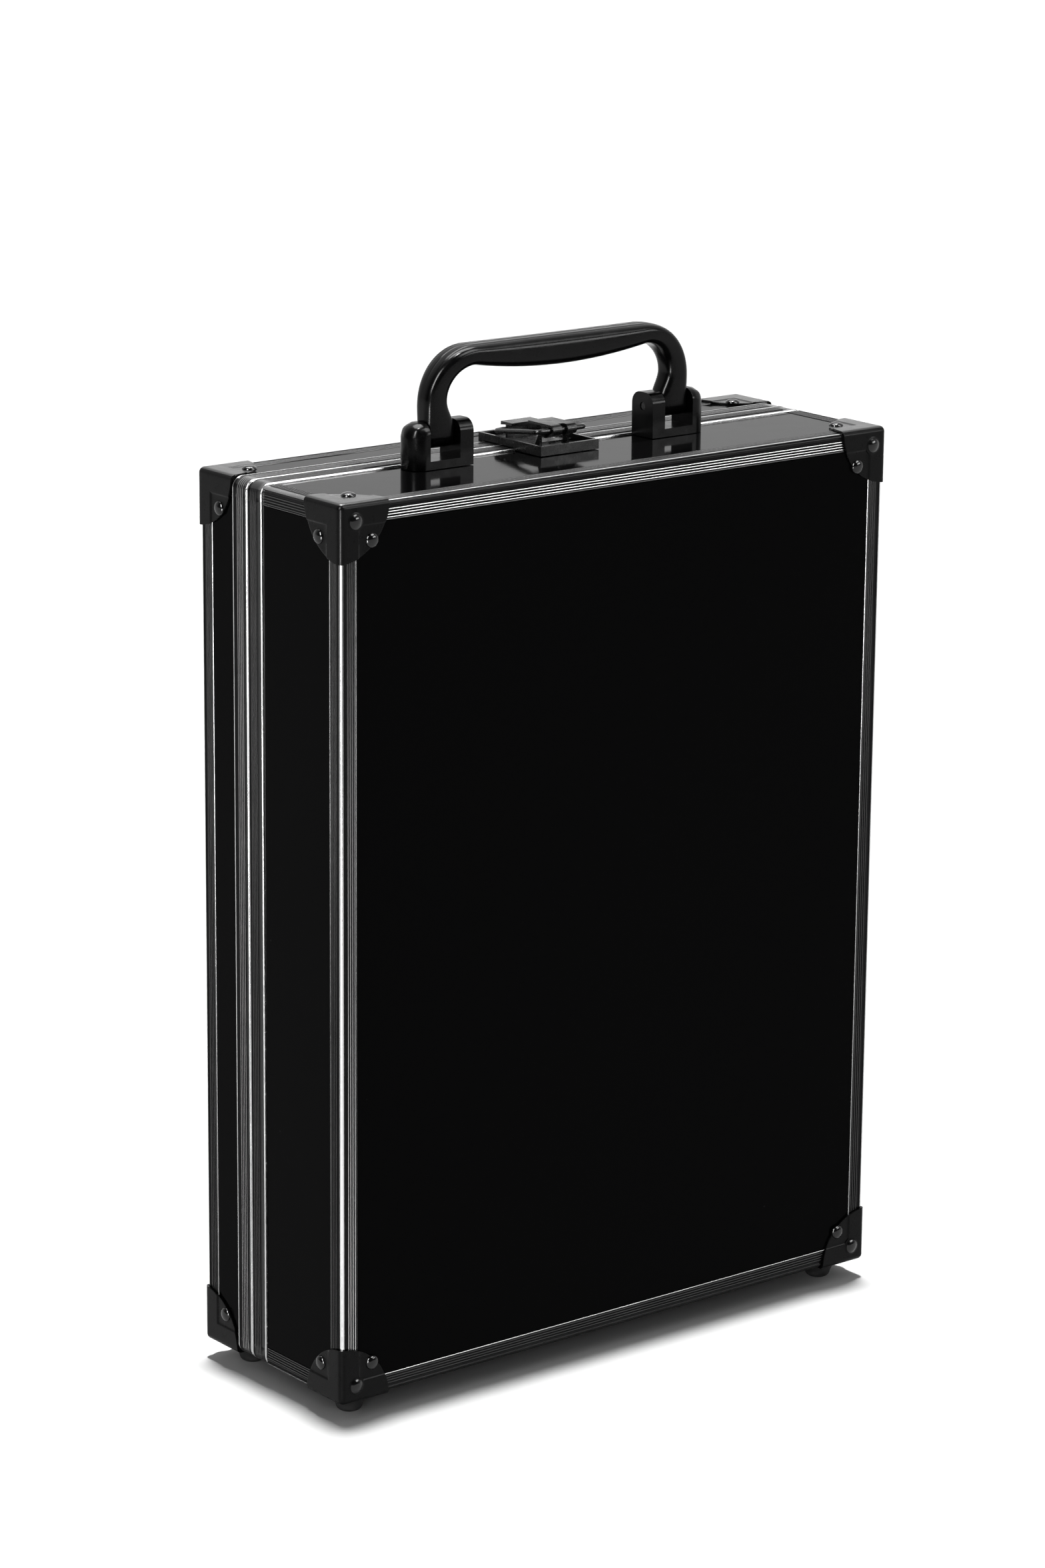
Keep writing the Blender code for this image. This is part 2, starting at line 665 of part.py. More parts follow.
def build_handle():
    """The moulded grip: half of it is lofted, and mirrored at the middle."""
    bm = bmesh.new()
    rings = [[bm.verts.new(co) for co in section_ring(*station)] for station in handle_stations()]
    for near, far in zip(rings, rings[1:]):
        count = len(near)
        for i in range(count):
            j = (i + 1) % count
            bm.faces.new((near[i], near[j], far[j], far[i]))
    bm.faces.new(rings[-1])
    bmesh.ops.recalc_face_normals(bm, faces=bm.faces)
    mesh = bpy.data.meshes.new("handle_grip")
    bm.to_mesh(mesh)
    bm.free()
    shift_mesh(mesh, Vector((0, 0, -HANDLE_PIN_HEIGHT)))
    grip = add_part("handle_grip", mesh, HANDLE_PLASTIC, HANDLE_PIVOT, smooth=True)
    mirror = grip.modifiers.new("other_half", "MIRROR")
    mirror.use_clip = True
    mirror.merge_threshold = 0.0001
    bore = cylinder_cutter("handle_grip_bore", HANDLE_PIN_RADIUS + PIN_CLEARANCE,
                           3 * HANDLE_HALF_WIDTH, (0, 0, 0), grip)
    boolean(grip, bore, "DIFFERENCE")


# Latch -------------------------------------------------------------------------------------
LATCH_FRONT = BODY_MOUTH - LATCH_BASE_DEPTH
LATCH_HALF = LATCH_WIDTH / 2
OVER_RIM = RIM_PROUD + SEAM     # how high the trays pass over the rims
LEVER_PIN = Vector((0, PARTING - LEVER_PIN_SETBACK, TOP + LEVER_PIN_HEIGHT))
BAIL_OFFSET = BAIL_CRANK * Vector((0, math.cos(BAIL_CRANK_ANGLE), math.sin(BAIL_CRANK_ANGLE)))
BAIL_PIVOT = LEVER_PIN + BAIL_OFFSET
KEEPER_FRONT = LID_MOUTH
HOOK_FRONT = KEEPER_FRONT + HOOK_SETBACK
HOOK_BACK = HOOK_FRONT + HOOK_LENGTH
BAIL_BACK = Vector((0, HOOK_BACK - HOOK_OVERHANG, TOP + BAIL_BACK_HEIGHT))
LEVER_AXIS = pivot("lever_pivot", LEVER_PIN)
BAIL_AXIS = pivot("bail_pivot", BAIL_OFFSET)
BAIL_AXIS.parent = LEVER_AXIS


def add_tray(name, low_y, high_y, step_low, step_high, open_side, parent=None):
    """A pressed tray on the top of the case that steps over a rim, walled on three sides."""
    floor_low = TOP + TRAY_FLOOR
    floor_high = TOP + OVER_RIM + TRAY_FLOOR
    tray = add_block(name, (-LATCH_HALF, low_y, TOP), (LATCH_HALF, high_y, TOP + TRAY_HEIGHT),
                     BLACK_STEEL, parent)
    shift = tray.location + (parent.location if parent else Vector())
    inner_low = low_y + TRAY_WALL if open_side > 0 else low_y - TRAY_WALL
    inner_high = high_y + TRAY_WALL if open_side > 0 else high_y - TRAY_WALL
    inner_x = LATCH_HALF - TRAY_WALL
    cuts = {
        "recess": ((-inner_x, inner_low, floor_high),
                   (inner_x, inner_high, TOP + 2 * TRAY_HEIGHT)),
        "rim": ((-LATCH_WIDTH, step_low, TOP - TRAY_HEIGHT),
                (LATCH_WIDTH, step_high, TOP + OVER_RIM)),
    }
    if open_side > 0:
        deep_high = step_low - TRAY_FLOOR
        cuts["well"] = ((-inner_x, inner_low, floor_low), (inner_x, deep_high, floor_high + SEAM))
    for cut, (low, high) in cuts.items():
        tool = block_cutter(f"{name}_{cut}", low, high, tray)
        tool.location -= shift
        boolean(tray, tool, "DIFFERENCE")
    return tray


def add_union(obj, name, mesh, location):
    """Join a mesh, placed in the world, to a part."""
    tool = add_cutter(name, mesh, obj)
    origin = obj.location + (obj.parent.location if obj.parent else Vector())
    tool.location = Vector(location) - origin
    boolean(obj, tool, "UNION")
    return tool


def side_plate_mesh(name, outline, thickness):
    """A Y-Z outline as a plate whose thickness runs along X."""
    mesh = outline_mesh(name, [outline], thickness)
    mesh.transform(frame_matrix(Vector(), Y, Z))
    return mesh


def build_latch_base():
    base = add_tray("latch_base", LATCH_FRONT, BODY_MOUTH, BODY_RIM_FRONT - SEAM,
                    BODY_MOUTH + TRAY_WALL, 1)
    lug = LEVER_PIN_RADIUS + PIN_CLEARANCE + LATCH_LUG_WALL
    stem_front = BAIL_WIRE_RADIUS + SEAM
    floor = TOP + TRAY_FLOOR / 2 - LEVER_PIN.z
    outline = arc((0, 0), lug, 180, 20, 8)
    outline += [(LATCH_EAR_BACK, floor), (stem_front, floor)]
    outline += arc((0, 0), lug, -45, -180, 6)[:-1]
    ear = side_plate_mesh("latch_ear", outline, EAR_THICKNESS)
    reach = LEVER_WIDTH / 2 + SEAM + EAR_THICKNESS / 2
    for side, sx in SIDES.items():
        add_union(base, f"latch_{side}_ear", ear, (sx * reach, LEVER_PIN.y, LEVER_PIN.z))
    bore = cylinder_cutter("latch_base_bore", LEVER_PIN_RADIUS + PIN_CLEARANCE, LATCH_WIDTH / 1.5,
                           LEVER_PIN - base.location, base)
    boolean(base, bore, "DIFFERENCE")
    low, high = TOP + TRAY_FLOOR, TOP + OVER_RIM + TRAY_FLOOR
    inset = LATCH_HALF - TRAY_WALL - LATCH_RIVET_RADIUS - LATCH_RIVET_GAP
    spots = ((LATCH_FRONT + LATCH_RIVET_INSET, low), (BODY_MOUTH - LATCH_RIVET_INSET, high))
    domes = [(Vector((sx * inset, y, z)), Z, LATCH_RIVET_RADIUS, LATCH_RIVET_HEIGHT)
             for sx in SIDES.values() for y, z in spots]
    rivets = half_domes("latch_base_rivets", domes, TRAY_FLOOR)
    add_union(base, "latch_base_rivets", rivets, (0, 0, 0))


def build_lever():
    """The lever: a plate behind its pin, and rolled knuckles that hold the wire in front."""
    crank = BAIL_OFFSET
    centre = (crank.y, crank.z)
    plate_top = crank.z + KNUCKLE_RADIUS
    plate_low = plate_top - LEVER_THICKNESS
    outline = arc(centre, KNUCKLE_RADIUS, 90, 265, 9)
    outline += arc((0, 0), KNUCKLE_RADIUS, 250, 380, 7)
    outline += [(KNUCKLE_RADIUS * 1.2, plate_low), (LEVER_LENGTH, plate_low),
                (LEVER_LENGTH, plate_top)]
    lever = add_part("latch_lever", side_plate_mesh("latch_lever", outline, LEVER_WIDTH),
                     BLACK_STEEL, LEVER_AXIS, smooth=True)
    for name, radius, place in (("pin", LEVER_PIN_RADIUS, Vector()),
                                ("wire", BAIL_WIRE_RADIUS, crank)):
        bore = cylinder_cutter(f"latch_lever_{name}_bore", radius + PIN_CLEARANCE,
                               2 * LEVER_WIDTH, place, lever)
        boolean(lever, bore, "DIFFERENCE")
    gap = block_cutter("latch_lever_gap", (-KNUCKLE_GAP / 2, crank.y - 2 * KNUCKLE_RADIUS,
                                           crank.z - 2 * KNUCKLE_RADIUS),
                       (KNUCKLE_GAP / 2, crank.y + BAIL_WIRE_RADIUS,
                        crank.z + 2 * KNUCKLE_RADIUS), lever)
    boolean(lever, gap, "DIFFERENCE")
    length = LEVER_WIDTH + 2 * (SEAM + EAR_THICKNESS) + 2 * PIN_SETBACK
    pin = add_part("latch_lever_pin", cylinder_mesh("latch_lever_pin", LEVER_PIN_RADIUS, length),
                   BLACK_STEEL, smooth=True)
    pin.location = LEVER_PIN


def build_bail():
    """The wire loop: its front bar turns in the lever, its back bar sits behind the hook."""
    back = BAIL_BACK - BAIL_PIVOT
    run = math.hypot(back.y, back.z)
    flat = rounded_rectangle(BAIL_HALF_WIDTH, run / 2, BAIL_CORNER, 4)
    curve = bpy.data.curves.new("latch_bail", "CURVE")
    curve.dimensions = "3D"
    curve.bevel_depth = BAIL_WIRE_RADIUS
    curve.bevel_resolution = 2
    spline = curve.splines.new("POLY")
    spline.points.add(len(flat) - 1)
    tilt = math.atan2(back.z, back.y)
    for point, (u, v) in zip(spline.points, flat):
        along = v + run / 2
        point.co = (u, along * math.cos(tilt), along * math.sin(tilt), 1)
    spline.use_cyclic_u = True
    add_part("latch_bail", curve, BLACK_STEEL, BAIL_AXIS)


def build_keeper():
    """The keeper on the lid: a tray with an upright tab whose lip hooks over the wire."""
    keeper = add_tray("latch_keeper", KEEPER_FRONT, KEEPER_FRONT + KEEPER_DEPTH,
                      KEEPER_FRONT - TRAY_WALL, LID_RIM_BACK + SEAM, -1, LID_PIVOT)
    floor = OVER_RIM + TRAY_FLOOR / 2
    stem_back = BAIL_BACK.y - BAIL_WIRE_RADIUS - SEAM
    stem_front = stem_back - HOOK_THICKNESS
    under = HOOK_HEIGHT - HOOK_THICKNESS
    outline = [(HOOK_FRONT, under - HOOK_LIP / 2), (stem_front, under), (stem_front, floor),
               (stem_back, floor), (stem_back, under), (HOOK_BACK, under - HOOK_LIP),
               (HOOK_BACK, HOOK_HEIGHT), (HOOK_FRONT, HOOK_HEIGHT)]
    hook = side_plate_mesh("latch_hook", outline, HOOK_WIDTH)
    add_union(keeper, "latch_hook", hook, (0, 0, TOP))
    inset = (HOOK_WIDTH / 2 + LATCH_HALF - TRAY_WALL) / 2
    radius = LATCH_RIVET_RADIUS * 0.9
    y, z = KEEPER_FRONT + LATCH_RIVET_INSET, TOP + OVER_RIM + TRAY_FLOOR
    domes = [(Vector((sx * inset, y, z)), Z, radius, LATCH_RIVET_HEIGHT)
             for sx in SIDES.values()]
    add_union(keeper, "latch_keeper_rivets", half_domes("latch_keeper_rivets", domes, TRAY_FLOOR),
              (0, 0, 0))


# Hinges ------------------------------------------------------------------------------------
def add_leaf(name, x, toward, knuckles, mat_parent):
    """A hinge leaf under a rim. knuckles are (start, end) stretches along X from its middle."""
    low = HINGE_LEAF_TOP - HINGE_LEAF_THICKNESS
    edge = HINGE_BARREL_RADIUS + 2 * SEAM
    ys = sorted((PARTING + toward * edge, PARTING + toward * HINGE_LEAF))
    leaf = add_block(name, (x - HINGE_LENGTH / 2, ys[0], low),
                     (x + HINGE_LENGTH / 2, ys[1], HINGE_LEAF_TOP), BLACK_STEEL, mat_parent)
    axis = Vector((x, PARTING, HINGE_AXIS_Z))
    for i, (start, end) in enumerate(knuckles):
        middle = x + (start + end) / 2
        strap_ys = sorted((PARTING, PARTING + toward * (edge + SEAM)))
        strap, centre = block_mesh(f"{name}_strap_{i}", (x + start, strap_ys[0], low),
                                   (x + end, strap_ys[1], HINGE_LEAF_TOP))
        add_union(leaf, f"{name}_strap_{i}", strap, centre)
        barrel = cylinder_mesh(f"{name}_barrel_{i}", HINGE_BARREL_RADIUS, end - start)
        add_union(leaf, f"{name}_barrel_{i}", barrel, (middle, axis.y, axis.z))
    origin = leaf.location + (mat_parent.location if mat_parent else Vector())
    bore = cylinder_cutter(f"{name}_bore", HINGE_PIN_RADIUS + PIN_CLEARANCE, 2 * HINGE_LENGTH,
                           axis - origin, leaf)
    boolean(leaf, bore, "DIFFERENCE")


def build_hinges():
    third = HINGE_LENGTH / 3
    half = HINGE_LENGTH / 2
    for side, sx in SIDES.items():
        x = sx * HINGE_OFFSET
        outer = [(-half, -half + third - SEAM), (half - third + SEAM, half)]
        add_leaf(f"hinge_{side}_body_leaf", x, -1, outer, None)
        add_leaf(f"hinge_{side}_lid_leaf", x, 1, [(-third / 2, third / 2)], LID_PIVOT)
        pin = add_part(f"hinge_{side}_pin",
                       cylinder_mesh("hinge_pin", HINGE_PIN_RADIUS, HINGE_LENGTH), BLACK_STEEL,
                       smooth=True)
        pin.location = (x, PARTING, HINGE_AXIS_Z)


build_shell()
build_brackets()
build_handle()
build_latch_base()
build_lever()
build_bail()
build_keeper()
build_hinges()
bpy.context.view_layer.update()
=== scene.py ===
import json
import math

import bmesh
import bpy
from mathutils import Matrix, Vector


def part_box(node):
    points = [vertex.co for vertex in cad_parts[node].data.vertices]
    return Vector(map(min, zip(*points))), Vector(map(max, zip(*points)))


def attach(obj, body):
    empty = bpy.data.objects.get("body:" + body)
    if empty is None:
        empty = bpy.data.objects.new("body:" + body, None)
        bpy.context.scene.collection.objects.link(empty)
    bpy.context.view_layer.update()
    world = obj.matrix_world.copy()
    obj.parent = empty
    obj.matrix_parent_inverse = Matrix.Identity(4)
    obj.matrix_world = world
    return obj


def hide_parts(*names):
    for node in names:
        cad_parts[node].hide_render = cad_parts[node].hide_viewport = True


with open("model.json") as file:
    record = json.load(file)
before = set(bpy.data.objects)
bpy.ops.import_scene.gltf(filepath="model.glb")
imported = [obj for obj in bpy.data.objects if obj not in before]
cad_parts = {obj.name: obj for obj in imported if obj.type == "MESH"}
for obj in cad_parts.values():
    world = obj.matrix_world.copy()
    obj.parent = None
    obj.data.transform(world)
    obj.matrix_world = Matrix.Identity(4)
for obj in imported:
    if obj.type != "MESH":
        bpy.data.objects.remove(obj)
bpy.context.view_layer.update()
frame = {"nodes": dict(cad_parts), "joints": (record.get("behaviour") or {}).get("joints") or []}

# Measures read from the frame, in metres ----------------------------------------------------
LEFT, FRONT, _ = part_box("body_front_left_profile")[0]
RIGHT = -LEFT
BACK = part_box("lid_back_left_profile")[1].y
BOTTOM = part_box("body_front_bottom_profile")[0].z
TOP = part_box("body_front_top_profile")[1].z
X, Y, Z = Vector((1, 0, 0)), Vector((0, 1, 0)), Vector((0, 0, 1))

PROFILE_LEG = 0.0083
WALL = 0.0035
BEAD = 0.0016               # rounded outer corner of the profiles
RIDGE_PITCH = 0.00115
RIDGE_HALF = 0.00042
RIDGE_DEPTH = 0.00032
RIM_PROUD = 0.0007
RIM_CORNER = 0.005
PAINTED_HIGHLIGHT_SPAN = (BOTTOM + 0.05, TOP - 0.03)      # heights between which the painted crest highlight fades


# Materials ----------------------------------------------------------------------------------
def new_material(name, color, roughness, metallic=0.0, ior=1.5):
    mat = bpy.data.materials.new(name)
    mat.use_nodes = True
    shader = mat.node_tree.nodes["Principled BSDF"]
    shader.inputs["Base Color"].default_value = (*color, 1)
    shader.inputs["Roughness"].default_value = roughness
    shader.inputs["Metallic"].default_value = metallic
    shader.inputs["IOR"].default_value = ior
    return mat


def add_node(mat, kind, **values):
    node = mat.node_tree.nodes.new(kind)
    for key, value in values.items():
        if key in node.inputs:
            node.inputs[key].default_value = value
        else:
            setattr(node, key, value)
    return node


def link(mat, source, target):
    mat.node_tree.links.new(source, target)


def noise(mat, scale, detail=3.0, stretch=(1, 1, 1)):
    """A noise value in the object's own coordinates, which are metres."""
    coords = add_node(mat, "ShaderNodeTexCoord")
    mapping = add_node(mat, "ShaderNodeMapping", Scale=stretch)
    texture = add_node(mat, "ShaderNodeTexNoise", Scale=scale, Detail=detail)
    link(mat, coords.outputs["Object"], mapping.inputs["Vector"])
    link(mat, mapping.outputs["Vector"], texture.inputs["Vector"])
    return texture.outputs["Fac"]


def remap(mat, value, low, high, to_low, to_high):
    """The value's stretch from low to high, mapped to another stretch and clamped."""
    node = add_node(mat, "ShaderNodeMapRange")
    node.inputs["From Min"].default_value = low
    node.inputs["From Max"].default_value = high
    node.inputs["To Min"].default_value = to_low
    node.inputs["To Max"].default_value = to_high
    link(mat, value, node.inputs["Value"])
    return node.outputs["Result"]


def vary_roughness(mat, value, low, high):
    shader = mat.node_tree.nodes["Principled BSDF"]
    link(mat, remap(mat, value, 0.3, 0.7, low, high), shader.inputs["Roughness"])


def bumps(mat, *layers):
    """Surface relief from (value, depth in metres) layers, one over the other."""
    shader = mat.node_tree.nodes["Principled BSDF"]
    normal = None
    for value, depth in layers:
        bump = add_node(mat, "ShaderNodeBump", Strength=1.0, Distance=depth)
        link(mat, value, bump.inputs["Height"])
        if normal:
            link(mat, normal, bump.inputs["Normal"])
        normal = bump.outputs["Normal"]
    link(mat, normal, shader.inputs["Normal"])


def mix_color(mat, value, first, second):
    """The base colour goes from first to second as the value goes from 0 to 1."""
    shader = mat.node_tree.nodes["Principled BSDF"]
    mix = add_node(mat, "ShaderNodeMix", data_type="RGBA")
    for socket, color in zip([s for s in mix.inputs if s.type == "RGBA"], (first, second)):
        socket.default_value = (*color, 1)
    link(mat, value, mix.inputs["Factor"])
    result = next(s for s in mix.outputs if s.type == "RGBA")
    link(mat, result, shader.inputs["Base Color"])


def panel_material(name, ior):
    """Black gloss laminate: faint waviness, and a few specks of dust."""
    mat = new_material(name, (0.003, 0.003, 0.003), 0.08, ior=ior)
    coords = add_node(mat, "ShaderNodeTexCoord")
    cells = add_node(mat, "ShaderNodeTexVoronoi", Scale=95.0)
    link(mat, coords.outputs["Object"], cells.inputs["Vector"])
    speck = remap(mat, cells.outputs["Distance"], 0.03, 0.05, 1.0, 0.0)
    patch = remap(mat, noise(mat, 60.0), 0.62, 0.66, 0.0, 1.0)
    both = add_node(mat, "ShaderNodeMath", operation="MULTIPLY")
    link(mat, speck, both.inputs[0])
    link(mat, patch, both.inputs[1])
    mix_color(mat, both.outputs["Value"], (0.0020, 0.0020, 0.0021), (0.02, 0.02, 0.02))
    vary_roughness(mat, noise(mat, 22.0, 5.0), 0.06, 0.12)
    bumps(mat, (noise(mat, 45.0, 2.0), 0.00004), (noise(mat, 1400.0, 2.0), 0.0000012))
    return mat


def profile_material(name, stretch, ior=1.16):
    """Black anodised aluminium, drawn along its length."""
    mat = new_material(name, (0.008, 0.008, 0.0082), 0.16, ior=ior)
    drawn = noise(mat, 900.0, 3.0, stretch)
    vary_roughness(mat, drawn, 0.10, 0.20)
    mix_color(mat, remap(mat, noise(mat, 70.0, 4.0), 0.3, 0.7, 0, 1), (0.004, 0.004, 0.0042),
              (0.009, 0.009, 0.0092))
    bumps(mat, (drawn, 0.0000025))
    return mat


def crest_material(name, tone, tone_above=None):
    """The crests of the ridges, bright metal as their painted highlights; tone is how bright.

    With tone_above, the painted highlight fades to that from the foot of the case to its top.
    """
    mat = new_material(name, (tone, tone, tone), 0.2, metallic=1.0)
    drawn = noise(mat, 700.0, 3.0)
    vary_roughness(mat, drawn, 0.16, 0.28)
    # Patchy brightness across the painted highlight.
    patchy_highlight = remap(mat, noise(mat, 55.0, 4.0), 0.3, 0.7, 0, 1)
    if tone_above is None:
        mix_color(mat, patchy_highlight, (tone * 0.8,) * 3, (min(tone * 1.1, 1),) * 3)
    else:
        # The painted highlight runs from tone at the foot of the case to tone_above at its top.
        coords = add_node(mat, "ShaderNodeTexCoord")
        split = add_node(mat, "ShaderNodeSeparateXYZ")
        link(mat, coords.outputs["Object"], split.inputs["Vector"])
        height = remap(mat, split.outputs["Z"], *PAINTED_HIGHLIGHT_SPAN, 0, 1)
        mix_color(mat, height, (tone,) * 3, (tone_above,) * 3)
    bumps(mat, (drawn, 0.000003))
    return mat


def coated_steel(name, dark, light, low, high, grain, ior):
    """Black coated pressed steel: orange peel, and fine grain."""
    mat = new_material(name, dark, low, ior=ior)
    mix_color(mat, remap(mat, noise(mat, grain, 4.0), 0.5, 0.75, 0, 1), dark, light)
    vary_roughness(mat, noise(mat, 260.0, 4.0), low, high)
    bumps(mat, (noise(mat, 700.0, 2.0), 0.000006), (noise(mat, grain, 2.0), 0.000005))
    return mat


def handle_material():
    mat = new_material("moulded_plastic", (0.003, 0.003, 0.0031), 0.24, ior=1.2)
    vary_roughness(mat, noise(mat, 180.0, 4.0), 0.17, 0.26)
    mix_color(mat, remap(mat, noise(mat, 900.0, 3.0), 0.55, 0.75, 0, 1),
              (0.0025, 0.0025, 0.0026), (0.005, 0.005, 0.0052))
    bumps(mat, (noise(mat, 300.0, 2.0), 0.000010), (noise(mat, 2600.0, 2.0), 0.000003))
    return mat


def rubber_material():
    mat = new_material("foot_rubber", (0.02, 0.02, 0.0205), 0.6, ior=1.3)
    vary_roughness(mat, noise(mat, 300.0, 4.0), 0.5, 0.75)
    mix_color(mat, remap(mat, noise(mat, 150.0, 5.0), 0.35, 0.7, 0, 1), (0.018, 0.018, 0.0185),
              (0.030, 0.030, 0.030))
    bumps(mat, (noise(mat, 1200.0, 4.0), 0.000015))
    return mat


def felt_material():
    mat = new_material("lining_felt", (0.02, 0.02, 0.022), 0.95)
    mat.node_tree.nodes["Principled BSDF"].inputs["Sheen Weight"].default_value = 0.35
    fibre = noise(mat, 1500.0, 6.0, (1, 0.35, 1))
    mix_color(mat, remap(mat, fibre, 0.35, 0.7, 0, 1), (0.012, 0.012, 0.013),
              (0.045, 0.045, 0.048))
    bumps(mat, (fibre, 0.00012), (noise(mat, 250.0, 3.0), 0.00006))
    return mat


PANEL = panel_material("gloss_laminate", 1.065)
# A copy of the laminate that reflects more, for the top panel: a painted top reflection.
PANEL_UPPER = panel_material("gloss_laminate_upper", 1.10)
PROFILE_X = profile_material("anodised_x", (0.02, 1, 1))
PROFILE_Y = profile_material("anodised_y", (1, 0.02, 1))
PROFILE_Z = profile_material("anodised_z", (1, 1, 0.02))
RIM = profile_material("anodised_rim", (0.3, 1, 0.3))
# A copy of the anodised black that reflects far more, for faces on top of the case: a painted top
# reflection.
UPPER = profile_material("anodised_upper", (0.3, 1, 0.3), 1.42)
# Painted highlights for the crests, lips and beads of the ridged profiles, bright to dim; the
# fading ones are painted bright at the foot of the case and dim at its top.
BRIGHT = crest_material("crest_bright", 0.50)
FADING = crest_material("crest_fading", 0.55, 0.05)
BEAD_FADING = crest_material("bead_fading", 0.60, 0.20)
MIDDLE = crest_material("crest_middle", 0.26)
DIM = crest_material("crest_dim", 0.05)
CAP = coated_steel("coated_cap", (0.0025, 0.0025, 0.0026), (0.006, 0.006, 0.006), 0.25, 0.34,
                   2600.0, 1.16)
RIVET = coated_steel("coated_rivet", (0.003, 0.003, 0.0031), (0.006, 0.006, 0.006), 0.10, 0.17,
                     2600.0, 1.4)
# A copy of the cap coating, a little lighter and far more reflective, for faces turned up:
# painted top lightening and reflection.
CAP_UPPER = coated_steel("coated_cap_upper", (0.003, 0.003, 0.0031), (0.008, 0.008, 0.008), 0.20,
                         0.28, 2600.0, 1.45)
HARDWARE = coated_steel("coated_hardware", (0.006, 0.006, 0.0062), (0.05, 0.05, 0.05), 0.20, 0.34,
                        1500.0, 1.36)
PLASTIC = handle_material()
RUBBER = rubber_material()
FELT = felt_material()


# Mesh helpers -------------------------------------------------------------------------------
def finish_mesh(bm, name):
    bmesh.ops.recalc_face_normals(bm, faces=bm.faces)
    mesh = bpy.data.meshes.new(name)
    bm.to_mesh(mesh)
    bm.free()
    return mesh


def add_piece(name, mesh, mat, body, nodes, angle=35):
    """Show a mesh as a piece that rides on a body and stands for CAD nodes."""
    obj = bpy.data.objects.new(name, mesh)
    for each in (mat if isinstance(mat, tuple) else (mat,)):
        mesh.materials.append(each)
    bpy.context.scene.collection.objects.link(obj)
    mesh.shade_smooth()
    if angle:
        mesh.set_sharp_from_angle(angle=math.radians(angle))
    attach(obj, body)
    if nodes:
        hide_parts(*nodes)
    return obj


def skin(bm, rings, loop=False, marks=None):
    """Quads between rings of points, each ring closed. marks are material numbers, one for
    the strip that follows each point of a ring."""
    made = [[bm.verts.new(point) for point in ring] for ring in rings]
    pairs = list(zip(made, made[1:])) + ([(made[-1], made[0])] if loop else [])
    for near, far in pairs:
        for i in range(len(near)):
            j = (i + 1) % len(near)
            quad = bm.faces.new((near[i], near[j], far[j], far[i]))
            quad.material_index = marks[i] if marks else 0
    if not loop:
        bm.faces.new(made[0])
        bm.faces.new(made[-1])


def lathe(bm, centre, normal, profile, segments=40, marks=None):
    """A turned shape from (radius, height) pairs; it starts and may end on its axis.

    marks are material numbers, one for the band that follows each pair."""
    side = normal.orthogonal().normalized()
    other = normal.cross(side)
    rings = []
    for radius, height in profile:
        middle = centre + normal * height
        if radius == 0:
            rings.append([bm.verts.new(middle)])
            continue
        ring = []
        for i in range(segments):
            angle = 2 * math.pi * i / segments
            around = side * math.cos(angle) + other * math.sin(angle)
            ring.append(bm.verts.new(middle + around * radius))
        rings.append(ring)
    for band, (near, far) in enumerate(zip(rings, rings[1:])):
        for i in range(segments):
            j = (i + 1) % segments
            corners = [near[i % len(near)], near[j % len(near)], far[j % len(far)],
                       far[i % len(far)]]
            face = bm.faces.new(list(dict.fromkeys(corners)))
            face.material_index = marks[band] if marks else 0


def dome_profile(radius, height, sink, steps=7):
    """A closed low dome with a soft edge, its back sunk under the surface."""
    points = [(0, -sink), (radius, -sink)]
    for i in range(steps):
        angle = math.pi / 2 * i / steps
        points.append((radius * math.cos(angle), height * math.sin(angle)))
    return points + [(0, height)]


def ridge(centre, half, depth, steps=8):
    """A half-round ridge as (distance, depth below the face) pairs."""
    angles = [math.pi * i / steps for i in range(steps + 1)]
    return [(centre - half * math.cos(a), depth * (1 - math.sin(a))) for a in angles]


# Ridged edge profiles -----------------------------------------------------------------------
def leg_relief(crest):
    """One leg's outer face from its bead to its inner lip: (distance, depth, mark) triples."""
    points = [(0.0018, 0.00012, 0), (0.0020, 0.00034, 0), (0.0023, 0.00042, 0),
              (0.0027, 0.00030, 0), (0.0030, 0.00028, 0)]
    for i in range(4):
        points += marked(ridge(0.0037 + i * RIDGE_PITCH, RIDGE_HALF, RIDGE_DEPTH), crest)
    lip = PROFILE_LEG - 0.0003
    points += [(d, g, 3) for d, g in ridge(lip, 0.0003, 0.0003)[:-1]]
    return points + [(PROFILE_LEG, 0.0005, 0)]


def marked(points, crest, shoulder=3):
    """Marks a ridge's crest, leaving a step or two at its foot as they are."""
    last = len(points) - shoulder - 1
    return [(d, g, crest if shoulder <= i < last else 0) for i, (d, g) in enumerate(points)]


def profile_section(leg_marks, bead_lit):
    """The outline of a profile as (u, v, mark) triples, its first leg along u.

    Marks are material numbers: 0 black, 1 and 2 the legs' crests, 3 the lips, 4 the bead, all
    four with painted highlights, and 5 the black of a leg on top of the case, in the copy painted
    with a stronger top reflection, for the leg numbered in leg_marks. The bead's painted
    highlight lies between its two steps in bead_lit.
    """
    bead = []
    for i in range(9):
        angle = math.radians(270 - 90 * i / 8)
        bead.append((BEAD + BEAD * math.cos(angle), BEAD + BEAD * math.sin(angle),
                     4 if i in range(*bead_lit) else 0))
    bead[-1] = (*bead[-1][:2], 0)
    first, second = leg_relief(1), leg_relief(2)
    blacks = [5 if leg in leg_marks else 0 for leg in (1, 2)]
    first = [(d, g, first[i - 1][2] if i else 0) for i, (d, g, _) in enumerate(first)][::-1]
    face = [(d, g, mark or blacks[0]) for d, g, mark in first]
    side = [(g, d, mark or blacks[1]) for d, g, mark in second]
    return ([(WALL, WALL, 0), (PROFILE_LEG, WALL, 0)] + face + bead + side
            + [(WALL, PROFILE_LEG, 0)])


